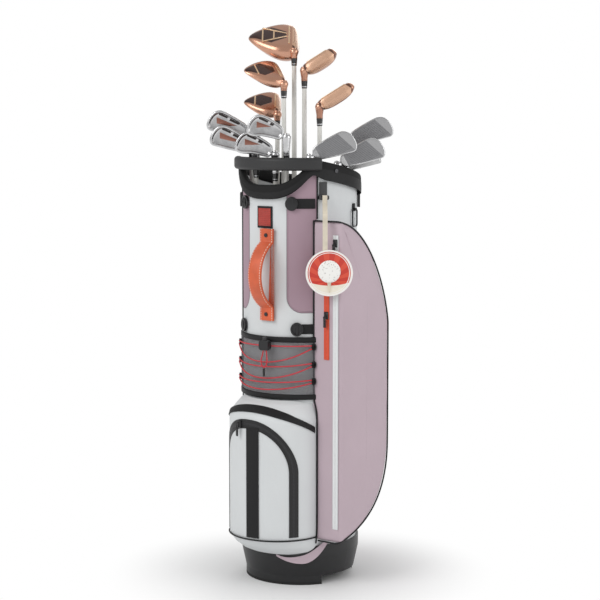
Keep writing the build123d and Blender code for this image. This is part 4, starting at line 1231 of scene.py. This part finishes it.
ring_spot = around(TUBE + 0.006 + 0.0034, 60)
ring_out = ring_spot.dot(tag_out)
STRAP_ROUTE = [Vector(p) for p in (     # reach and height of the strap's middle
    (ring_out, 0.800), (ring_out, 0.786), (0.149, 0.764), (0.159, 0.740), (0.159, 0.692))]
TAG_STRAP_WIDTH, TAG_STRAP_THICK = 0.010, 0.0020


def tag_strap_rule(u, v):
    index = min(int(v * (len(STRAP_ROUTE) - 1)), len(STRAP_ROUTE) - 2)
    here, after = STRAP_ROUTE[index], STRAP_ROUTE[index + 1]
    spot = here.lerp(after, v * (len(STRAP_ROUTE) - 1) - index)
    across, up = squircle(2 * pi * u, 0.4)
    along = (after - here).normalized()
    move = Vector((-along.y, along.x)) * up * TAG_STRAP_THICK / 2
    return Vector((TAG_STRAP_WIDTH / 2 * across, spot.y + move.y, spot.x + move.x))


tag_strap = closed_bar("tag_strap_leather", 24, 12 * (len(STRAP_ROUTE) - 1), tag_strap_rule)
put_in_place(tag_strap, facing(tag_side * ring_spot.dot(tag_side), TAG_HEADING))
modify(tag_strap, "SMOOTH", factor=0.5, iterations=3)
deliver(smooth(tag_strap, 60), cream_leather, body="tag", stands_for="tag_strap", slot="cream_leather")
print("tab, tag and strap hung")

# %% [markdown]
# The shoulder strap at the back is a padded band. It starts as a slim closed bar along an arch, and the
# cloth simulation blows it up a little, so that it gets the full, slightly uneven shape of foam in fabric.
# Its ends are held where they are sewn to the anchors.

# %% Stuff the shoulder strap
STRAP_LOW, STRAP_HIGH = 0.315, 0.775
STRAP_WIDTH = 0.060
STRAP_THICK = 0.0105
STRAP_NEAR, STRAP_ARCH = 0.130, 0.0435  # distance from the axis at its ends, and how far it arches out


def strap_rule(u, v):
    height = STRAP_LOW + (STRAP_HIGH - STRAP_LOW) * v
    share = 2 * v - 1
    reach = STRAP_NEAR + STRAP_ARCH * (1 - share * share)
    across, up = squircle(2 * pi * u, 0.4)
    slope = 2 * STRAP_ARCH * 2 * share / (STRAP_HIGH - STRAP_LOW)
    out = Vector((1, slope)).normalized()
    width = STRAP_WIDTH / 2 * (1 - 0.16 * abs(share) ** 6)
    return Vector((width * across, reach + out.x * up * STRAP_THICK / 2, height + out.y * up * STRAP_THICK / 2))


def inflate(piece, pressure, cap, held, frames=20):
    """Blows a closed piece up as cloth, each point no further than a cap, and leaves what held() names."""
    modify(piece, "REMESH", mode="VOXEL", voxel_size=0.005)
    before = [corner.co.copy() for corner in piece.data.vertices]
    pins = piece.vertex_groups.new(name="held")
    pins.add([i for i, spot in enumerate(before) if held(spot)], 1.0, "REPLACE")
    cloth = piece.modifiers.new("stuffing", "CLOTH")
    cloth.settings.use_pressure = True
    cloth.settings.uniform_pressure_force = pressure
    cloth.settings.vertex_group_mass = "held"
    cloth.settings.quality = 5
    cloth.settings.effector_weights.gravity = 0
    for step in range(1, frames + 1):
        bpy.context.scene.frame_set(step)
    alone(piece)
    bpy.ops.object.modifier_apply(modifier=cloth.name)
    bpy.context.scene.frame_set(1)
    for corner, spot in zip(piece.data.vertices, before):
        move = corner.co - spot
        if move.length > cap:
            corner.co = spot + move.normalized() * cap
    piece.vertex_groups.clear()
    return piece


shoulder = closed_bar("shoulder_pad", 28, 70, strap_rule)
inflate(shoulder, 4.0, 0.006, lambda spot: abs(spot.z - (STRAP_LOW + STRAP_HIGH) / 2) > 0.218)
modify(shoulder, "SUBSURF", levels=1, render_levels=1)
smooth(shoulder, 80)
strap_fabric = Finish("shoulder_pad_fabric")
channel = (strap_fabric.parts()[0].size() - 0.0215).size().soft_step(0.0006, 0.0016)
dress_fabric(strap_fabric, strap_fabric.mix(channel, paint("101011"), paint("1E1E20")), 0.75, 0.7, 0.0015,
             0.4, 0.3, dents=channel)
deliver(shoulder, strap_fabric, stands_for="shoulder_strap", slot="cuff_fabric")
print("shoulder pad faces:", len(shoulder.data.polygons))

# %% [markdown]
# ## Club heads
# Every head is modelled in its own axes: x along the face towards the toe, y from the face to the back and
# z up out of the sole. A matrix from the club's place, heading and lean stands it on its shaft. A wood's head
# is a pile of rings; each ring is the same eight-cornered smooth outline, made smaller towards sole and crown.

# %% List the clubs
# In millimetres and degrees: toe, depth and rise are a head's size, and height is where its sole stands.
Club = namedtuple("Club", "name kind x y height heading toe depth rise hosel")
CLUBS = [Club(*row) for row in (
    ("driver", "wood", -27.6, 16.7, 1103, 127, 98, 106, 50, 28),
    ("fairway_wood_a", "wood", -18.0, -31.0, 1036, 146, 74, 84, 32, 28),
    ("fairway_wood_b", "wood", -55.6, -4.3, 974, 127, 70, 78, 32, 27),
    ("fairway_wood_c", "wood", 4.2, 9.4, 1064, 37, 68, 74, 34, 36),
    ("hybrid", "wood", 56.0, -8.0, 990, 37, 74, 40, 30, 38),
    ("iron_a", "iron", -76.8, -62.6, 936, 217, 86, 0, 0, 58),
    ("iron_b", "iron", -50.6, -81.6, 905, 217, 88, 0, 0, 58),
    ("iron_c", "iron", -2.6, -79.6, 899, 217, 74, 0, 0, 58),
    ("iron_d", "iron", 32.6, -88.2, 935, 217, 72, 0, 0, 58),
    ("iron_e", "iron", 73.2, -63.9, 894, 37, 88, 0, 0, 58),
    ("iron_f", "iron", 71.0, 66.0, 921, 37, 90, 0, 0, 58),
    ("iron_g", "iron", 96.6, -1.0, 879, 37, 90, 0, 0, 58),
    ("putter", "putter", 37.6, 88.4, 862, 37, 84, 0, 0, 32),
)]
RISE = {"wood": 32.0, "iron": 29.0, "putter": 14.0}     # degrees of the face's lower edge to the floor


def head_place(club):
    """The matrix from a head's own axes to its place on the shaft."""
    heading, lean = radians(club.heading), radians(RISE[club.kind])
    level = Vector((cos(heading), sin(heading), 0))
    toe = level * cos(lean) + Vector((0, 0, sin(lean)))
    sole = level * -sin(lean) + Vector((0, 0, cos(lean)))
    back = sole.cross(toe)
    place = Matrix((toe, back, sole)).transposed().to_4x4()
    return Matrix.Translation(Vector((club.x, club.y, club.height)) / 1000) @ place


print("clubs:", len(CLUBS))

# %% Pile up the rings of a wood
WOOD_OUTLINE = [(-1, 0.36), (-0.84, 0.06), (0, 0), (0.84, 0.06), (1, 0.36), (0.62, 0.76), (0, 1), (-0.64, 0.72)]
WOOD_RINGS = [  # depth below the sole as a share of the height, size of the outline
    (0.000, 0.000), (0.000, 0.30), (0.005, 0.55), (0.020, 0.74), (0.060, 0.835), (0.120, 0.895),
    (0.200, 0.940), (0.300, 0.975), (0.400, 0.995), (0.480, 1.000), (0.560, 0.970), (0.660, 0.905),
    (0.760, 0.815), (0.860, 0.67), (0.940, 0.46), (0.985, 0.24), (1.000, 0.000),
]


def on_outline(share, points=WOOD_OUTLINE):
    """A smooth closed line through the outline's corners."""
    count = len(points)
    place = (share % 1) * count
    index, t = int(place), place - int(place)
    a, b, c, d = (Vector(points[(index + k) % count]) for k in (-1, 0, 1, 2))
    return 0.5 * (2 * b + (c - a) * t + (2 * a - 5 * b + 4 * c - d) * t * t + (3 * b - 3 * c + d - a) * t ** 3)


WOOD_HALF = 0.58        # half of a head's length, as a share of its toe's distance from the shaft
FACE_SHARE = 0.1        # share of a head's depth that lies before the shaft


def wood_spot(club, share, ring):
    """A point of the head: share round the outline, ring from the sole's middle to the crown's middle."""
    toe, depth, height = (value / 1000 for value in (club.toe, club.depth, club.rise))
    down, size = between(WOOD_RINGS, ring)
    spot = on_outline(share)
    half = toe * WOOD_HALF
    back = 0.42 + size * (spot.y - 0.42)
    fall = 1 - 0.6 * max(back, 0) ** 2      # the crown falls away to the back
    return Vector((toe - half + half * size * spot.x, depth * (back - FACE_SHARE), -height * down * fall))


def in_head_axes(finish, club):
    """Object coordinates turned into a head's own axes, in millimetres."""
    place = head_place(club)
    back = place.to_3x3().transposed()
    shift = back @ place.translation * -1
    where = finish.node("Mapping", {}, {
        "Vector": finish.place(), "Location": shift * 1000, "Rotation": back.to_euler("XYZ"),
        "Scale": (1000, 1000, 1000)})
    return finish.parts(where)


def wood_finish(club):
    """Copper paint in zones: a polished hollow in the sole painted dark as its shade, a light face and a deep
    crown.
    """
    toe, depth, height = club.toe, club.depth, club.rise
    finish = Finish(f"{club.name}_paint", metallic=1.0)
    x, y, z = in_head_axes(finish, club)
    half = toe * WOOD_HALF
    along = (x - (toe - half)) / half
    back = y / depth + FACE_SHARE
    cloud = finish.noise(24.0, 2.0)
    crown = (z * -1).soft_step(height * 0.47, height * 0.50)
    front = (back * -1).soft_step(-0.150, -0.125)
    edge = (along.size() + (z * -1 - height * 0.45).size() * (0.35 / height)).soft_step(0.80, 0.84)
    face = front * (1 - edge)
    plate = (back - 0.24).soft_step(0.0, 0.02) * ((z * -1) < height * 0.12)
    hollow = plate * (1 - (along.size() + (back - 0.55).size() * 1.1).soft_step(0.52, 0.58))
    rim_line = front * edge * (1 - (along.size() - 0.84).soft_step(0.0, 0.06))
    colour = finish.mix(crown, paint("C9967D"), paint("A67460"))
    colour = finish.mix(cloud.soft_step(0.3, 0.7) * 0.35, colour, paint("D8A88C"))
    # The sole's hollow is painted dark as shade; the rim line along the face's edge is a dark joint.
    colour = finish.mix(hollow.greater(rim_line * 0.8), colour, paint("43251F"))
    grooves = (z * (2 * pi / 2.6)).sine().soft_step(0.2, 0.8) * face * (along.size() < 0.55)
    colour = finish.mix(face, colour, paint("DDB294"))
    finish.put("Base Color", finish.mix(grooves * 0.45, colour, paint("8A5F4C")))
    finish.put("Metallic", 0.9 - face * 0.35)
    finish.put("Roughness", cloud * 0.08 + 0.24 + face * 0.14)
    finish.put("Coat Weight", 0.5)
    finish.put("Normal", finish.bump(grooves * -1 + hollow * -1.5, 0.5, 0.0006))
    return finish


RIB_RISE = 0.0016


def stand(piece, club):
    return put_in_place(piece, head_place(club))


NECK_RADIUS, KNOB_RADIUS = 0.0066, 0.0092


def hosel(club, sunk=0.0066):
    """The neck, from the ferrule up into the head: a ring at its lower end, a flare and a round shoulder."""
    x, y, height = (value / 1000 for value in (club.x, club.y, club.height))
    low = (club.height - club.hosel) / 1000
    top = height - sunk
    shoulder = top - 0.008
    piece = start("cylinder", "neck", vertices=40, radius=NECK_RADIUS, depth=top - low,
                  location=(x, y, (low + top) / 2))
    ring = hoop("collar", 0.0062, 0.0007, 40, location=(x, y, low + 0.0025))
    modify(piece, "BEVEL", width=0.0006, segments=2, limit_method="ANGLE")
    flare = start("cone", "flare", vertices=40, radius1=NECK_RADIUS, radius2=KNOB_RADIUS,
                  depth=(shoulder - low) * 0.7, location=(x, y, shoulder - (shoulder - low) * 0.35))
    knob = start("uv_sphere", "knob", radius=KNOB_RADIUS, segments=40, ring_count=20, location=(x, y, shoulder))
    return join("neck", [piece, ring, flare, knob])


def rib(club, *ends):
    """A raised bar on a wood's sole between two points, each (along, back) as shares of the head."""
    toe, depth = club.toe / 1000, club.depth / 1000
    half = toe * WOOD_HALF
    ends = [Vector((toe - half + half * along, depth * (back - FACE_SHARE), 0)) for along, back in ends]
    run = ends[1] - ends[0]
    piece = block("rib", (run.length, 0.0030, RIB_RISE), (0, 0, 0), RIB_RISE * 0.3, 3)
    turn = Matrix.Rotation(atan2(run.y, run.x), 4, "Z")
    return stand(put_in_place(piece, Matrix.Translation((ends[0] + ends[1]) / 2) @ turn), club)


RIBS = {
    "driver": [((-0.62, 0.20), (0.62, 0.20)), ((-0.10, 0.24), (-0.48, 0.72)), ((0.10, 0.24), (0.48, 0.72)),
               ((-0.30, 0.50), (0.30, 0.50)), ((-0.46, 0.72), (0.46, 0.72))],
    "hybrid": [((-0.66, 0.22), (0.66, 0.22))],
}
FAIRWAY_RIBS = [((-0.60, 0.16), (0.60, 0.16)), ((-0.42, 0.70), (0.42, 0.70))]
for club in CLUBS:
    if club.kind != "wood":
        continue
    name = club.name
    head = bent_sheet(f"{name}_clubhead", 72, 3 * (len(WOOD_RINGS) - 1),
                      lambda u, v: wood_spot(club, -u, 1 - v))
    stand(close_up(head), club)
    head = join(f"{name}_clubhead", [head, hosel(club)])
    deliver(smooth(head, 50), wood_finish(club), body=name, stands_for=f"{name}_head", slot="copper_head")
    bars = join(f"{name}_sole_ribs", [rib(club, *ends) for ends in RIBS.get(name, FAIRWAY_RIBS)])
    deliver(smooth(bars, 40), gold_trim, body=name)
print("woods made")

# %% [markdown]
# An iron is a blade with a polished edge, a milled face with fine grooves and a hollow back. It is again a
# stack of rings, this time from the middle of the face over the edge and down into the hollow. The blade is
# thick at its sole and thin at its top line. A rose badge and a slot, painted dark as its shade, lie in the
# hollow.

# %% Model the irons
BLADE_STAGES = [  # distance behind the middle of the blade, inset of the outline, in millimetres
    (-4.6, 24.0), (-4.6, 12.0), (-4.6, 5.0), (-4.6, 1.6), (-3.8, 0.5), (-2.0, 0.0), (2.6, 0.0), (4.8, 0.4),
    (5.9, 1.5), (6.1, 3.2), (5.8, 4.8), (1.4, 6.0), (0.2, 7.2), (0.0, 14.0), (0.0, 24.0),
]


def blade_outline(toe):
    """The blade seen from its face: (towards the toe, up out of the sole), in millimetres."""
    corners = [
        (-1, -12), (7, -3.2), (26, -0.6), (toe - 26, -0.3), (toe - 11, -4.5), (toe - 3, -15), (toe - 0.6, -30),
        (toe - 3.5, -43), (toe - 11, -49.5), (toe - 24, -47.5), (34, -39.5), (12, -32.5), (1, -29), (-3, -21)]
    return [on_outline(i / 84, corners) for i in range(84)]


SQUARE_DRAW, SPINE_DRAW = 8.0, 24.0     # insets, in millimetres, as on the side pocket's panel


def blade_rule(points):
    """The rule of a blade's rings, which close on a spine from the heel to the toe."""
    heel, toe = Vector((22, -20)), Vector((points[28].x - 8, -25))

    def rule(u, v):
        index = round(u * len(points)) % len(points)
        depth, inset = BLADE_STAGES[round(v * (len(BLADE_STAGES) - 1))]
        here = points[index]
        along = (points[(index + 1) % len(points)] - points[index - 1]).normalized()
        moved = here + Vector((along.y, -along.x)) * min(inset, SQUARE_DRAW)
        t = min(max((moved.x - heel.x) / (toe.x - heel.x), 0), 1)
        moved = moved.lerp(heel.lerp(toe, t), max(inset - SQUARE_DRAW, 0) / (SPINE_DRAW - SQUARE_DRAW))
        taper = 1 + 0.52 * moved.y / 50     # thinner towards the top line
        return Vector((moved.x, depth * (taper if depth > 0 else 0.8), moved.y)) / 1000

    return rule


def iron_finish(club):
    """Chrome, with a milled face and fine grooves, and a brighter toe beyond a slanted line."""
    toe = club.toe
    finish = Finish(f"{club.name}_steel", metallic=1.0)
    x, y, z = in_head_axes(finish, club)
    cloud = finish.noise(50.0, 3.0)
    face = (y < -3.55) * (x > 9) * (x < toe - 2.5) * (z < -2.2)
    slanted = x + z * 0.35
    scored = face * (x > 15) * (slanted < toe - 27) * (z > -40)
    grooves = (z * (2 * pi / 3.1)).sine().soft_step(0.55, 0.85) * scored
    brushed = finish.noise(1.0, 3.0, where=finish.place(scale=(260, 260, 2600)))
    bright = finish.mix(cloud.soft_step(0.3, 0.7), paint("BCBCBD"), paint("D2D2D3"))
    milled = finish.mix(brushed.soft_step(0.3, 0.7), paint("8E8E90"), paint("9C9C9E"))
    milled = finish.mix(slanted > toe - 27, milled, paint("B6B6B7"))
    colour = finish.mix(face, bright, milled)
    finish.put("Base Color", finish.mix(grooves * 0.6, colour, paint("4A4A4C")))
    finish.put("Roughness", cloud * 0.1 + brushed * 0.08 + face * 0.22 + 0.12)
    finish.put("Normal", finish.bump(grooves * -1 + brushed * 0.15, 0.5, 0.0004))
    return finish


def slab(name, corners, thick, bevel):
    """A flat plate in the plane of the blade's back, from its corners and its thickness in millimetres."""
    plate = start("circle", name, vertices=len(corners), radius=1, fill_type="NGON")
    for corner, (along, up) in zip(plate.data.vertices, corners):
        corner.co = Vector((along, 0, up)) / 1000
    modify(plate, "SOLIDIFY", thickness=thick / 1000, offset=0)
    for corner in plate.data.vertices:
        corner.co.y += thick / 2000
    close_up(plate)
    modify(plate, "BEVEL", width=bevel, segments=2)
    return plate


for club in CLUBS:
    if club.kind != "iron":
        continue
    name, toe = club.name, club.toe
    points = blade_outline(toe)
    blade = bent_sheet(f"{name}_blade", len(points), len(BLADE_STAGES) - 1, blade_rule(points))
    close_up(blade, 0.00002)
    modify(blade, "SUBSURF", levels=1, render_levels=1)
    stand(blade, club)
    blade = join(f"{name}_blade", [blade, hosel(club, 0.0125)])
    deliver(smooth(blade, 45), iron_finish(club), body=name, stands_for=f"{name}_head", slot="iron_metal")
    badge = slab(f"{name}_badge", [(27, -14), (toe - 14, -19), (toe - 20, -30), (40, -22)], 1.6, 0.0004)
    deliver(smooth(stand(badge, club)), badge_copper, body=name)
    # The slots are thin dark bars, painted as the shade inside them.
    slots = [slab("slot", [(left, -7), (right, -7.5), (right, -12.5), (left + 1, -11)], 0.9, 0.0002)
             for left, right in ((24, toe - 40), (toe - 35, toe - 15))]
    deliver(smooth(stand(join(f"{name}_slot", slots), club)), shadow_paint, body=name)
print("irons made")

# %% [markdown]
# The putter is a milled bar: a block with rounded corners, its back stepped down by an inset, with a sight
# line. The shafts keep their turned shape, and one finish per club colours the grip, the shaft and the
# ferrule by height, because each club stands at its own height.

# %% Mill the putter
putter = next(club for club in CLUBS if club.kind == "putter")
HEEL = 8.0              # millimetres of the bar beyond the shaft
putter_middle = (putter.toe - HEEL) / 2000
bar = block("putter_bar", ((putter.toe + HEEL) / 1000, 0.0195, 0.0235), (putter_middle, 0, -0.012), 0.0042, 4)
stand(sink_faces(bar, (0, 1, 0), 0.95, 0.0045, 0.006), putter)
bar = join("putter_clubhead", [bar, hosel(putter)])
deliver(smooth(bar, 40), putter_steel, body="putter", stands_for="putter_head", slot="putter_metal")
# The sight line is painted with the same dark shade as the irons' slots.
sight = block("putter_sight_line", (0.0016, 0.012, 0.0012), (putter_middle, 0, -0.0236), 0.0003)
deliver(smooth(stand(sight, putter)), shadow_paint, body="putter")
print("putter milled")


# %% Paint the shafts
GRIP_TOP = 0.310        # height in the bag
FERRULE = 0.015
GRIP_WRAP = 0.0052      # metres from turn to turn


def shaft_finish(club):
    finish = Finish(f"{club.name}_shaft_lacquer", roughness=0.25)
    neck_low = (club.height - club.hosel) / 1000
    z = finish.parts()[2]
    grip = z < GRIP_TOP
    ferrule = z > neck_low - FERRULE
    ring = (z - (neck_low - 0.0115)).size() < 0.0008
    wrap = (z * (2 * pi / GRIP_WRAP)).sine().soft_step(-0.2, 0.6) * grip
    flakes = finish.noise(900.0, 2.0)
    pearl = finish.mix(flakes.soft_step(0.35, 0.65), paint("E3E2DC"), paint("ECEBE6"))
    colour = finish.mix(grip, pearl, paint("1B1B1C"))
    colour = finish.mix(ferrule, colour, paint("141415"))
    finish.put("Base Color", finish.mix(ring, colour, paint("C9CACC")))
    finish.put("Metallic", ring * 1.0)
    finish.put("Roughness", grip * 0.5 + flakes * 0.08 + 0.18)
    finish.put("Coat Weight", 0.4)
    finish.put("Normal", finish.bump(wrap * 0.8 + finish.noise(1200.0) * grip * 0.3, 0.5, 0.0006))
    return finish


CARRIED_OVER = {        # CAD nodes that keep their shape
    "base_cup": base_plastic, "base_soles": sole_rubber, "body_stays": stay_metal,
    "divider_frame": divider_plastic, "divider_sheets": lining_fabric, "fasteners": rivet_metal,
    "front_handle_bar": rubber_bar, "cord_lock": buckle_plastic, "strap_anchors": buckle_plastic,
    "tag_ring": buckle_plastic, "cord_lock_button": button_plastic, "towel_ring": black_metal,
}
CARRIED_OVER.update({f"{club.name}_shaft": shaft_finish(club) for club in CLUBS})
for node, finish in CARRIED_OVER.items():
    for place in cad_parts[node].material_slots:
        place.material = finish.material
print("carried-over nodes dressed; new pieces:", len(made))

# %% [markdown]
# ## The end of the build

# %% Finish
print("scene built")
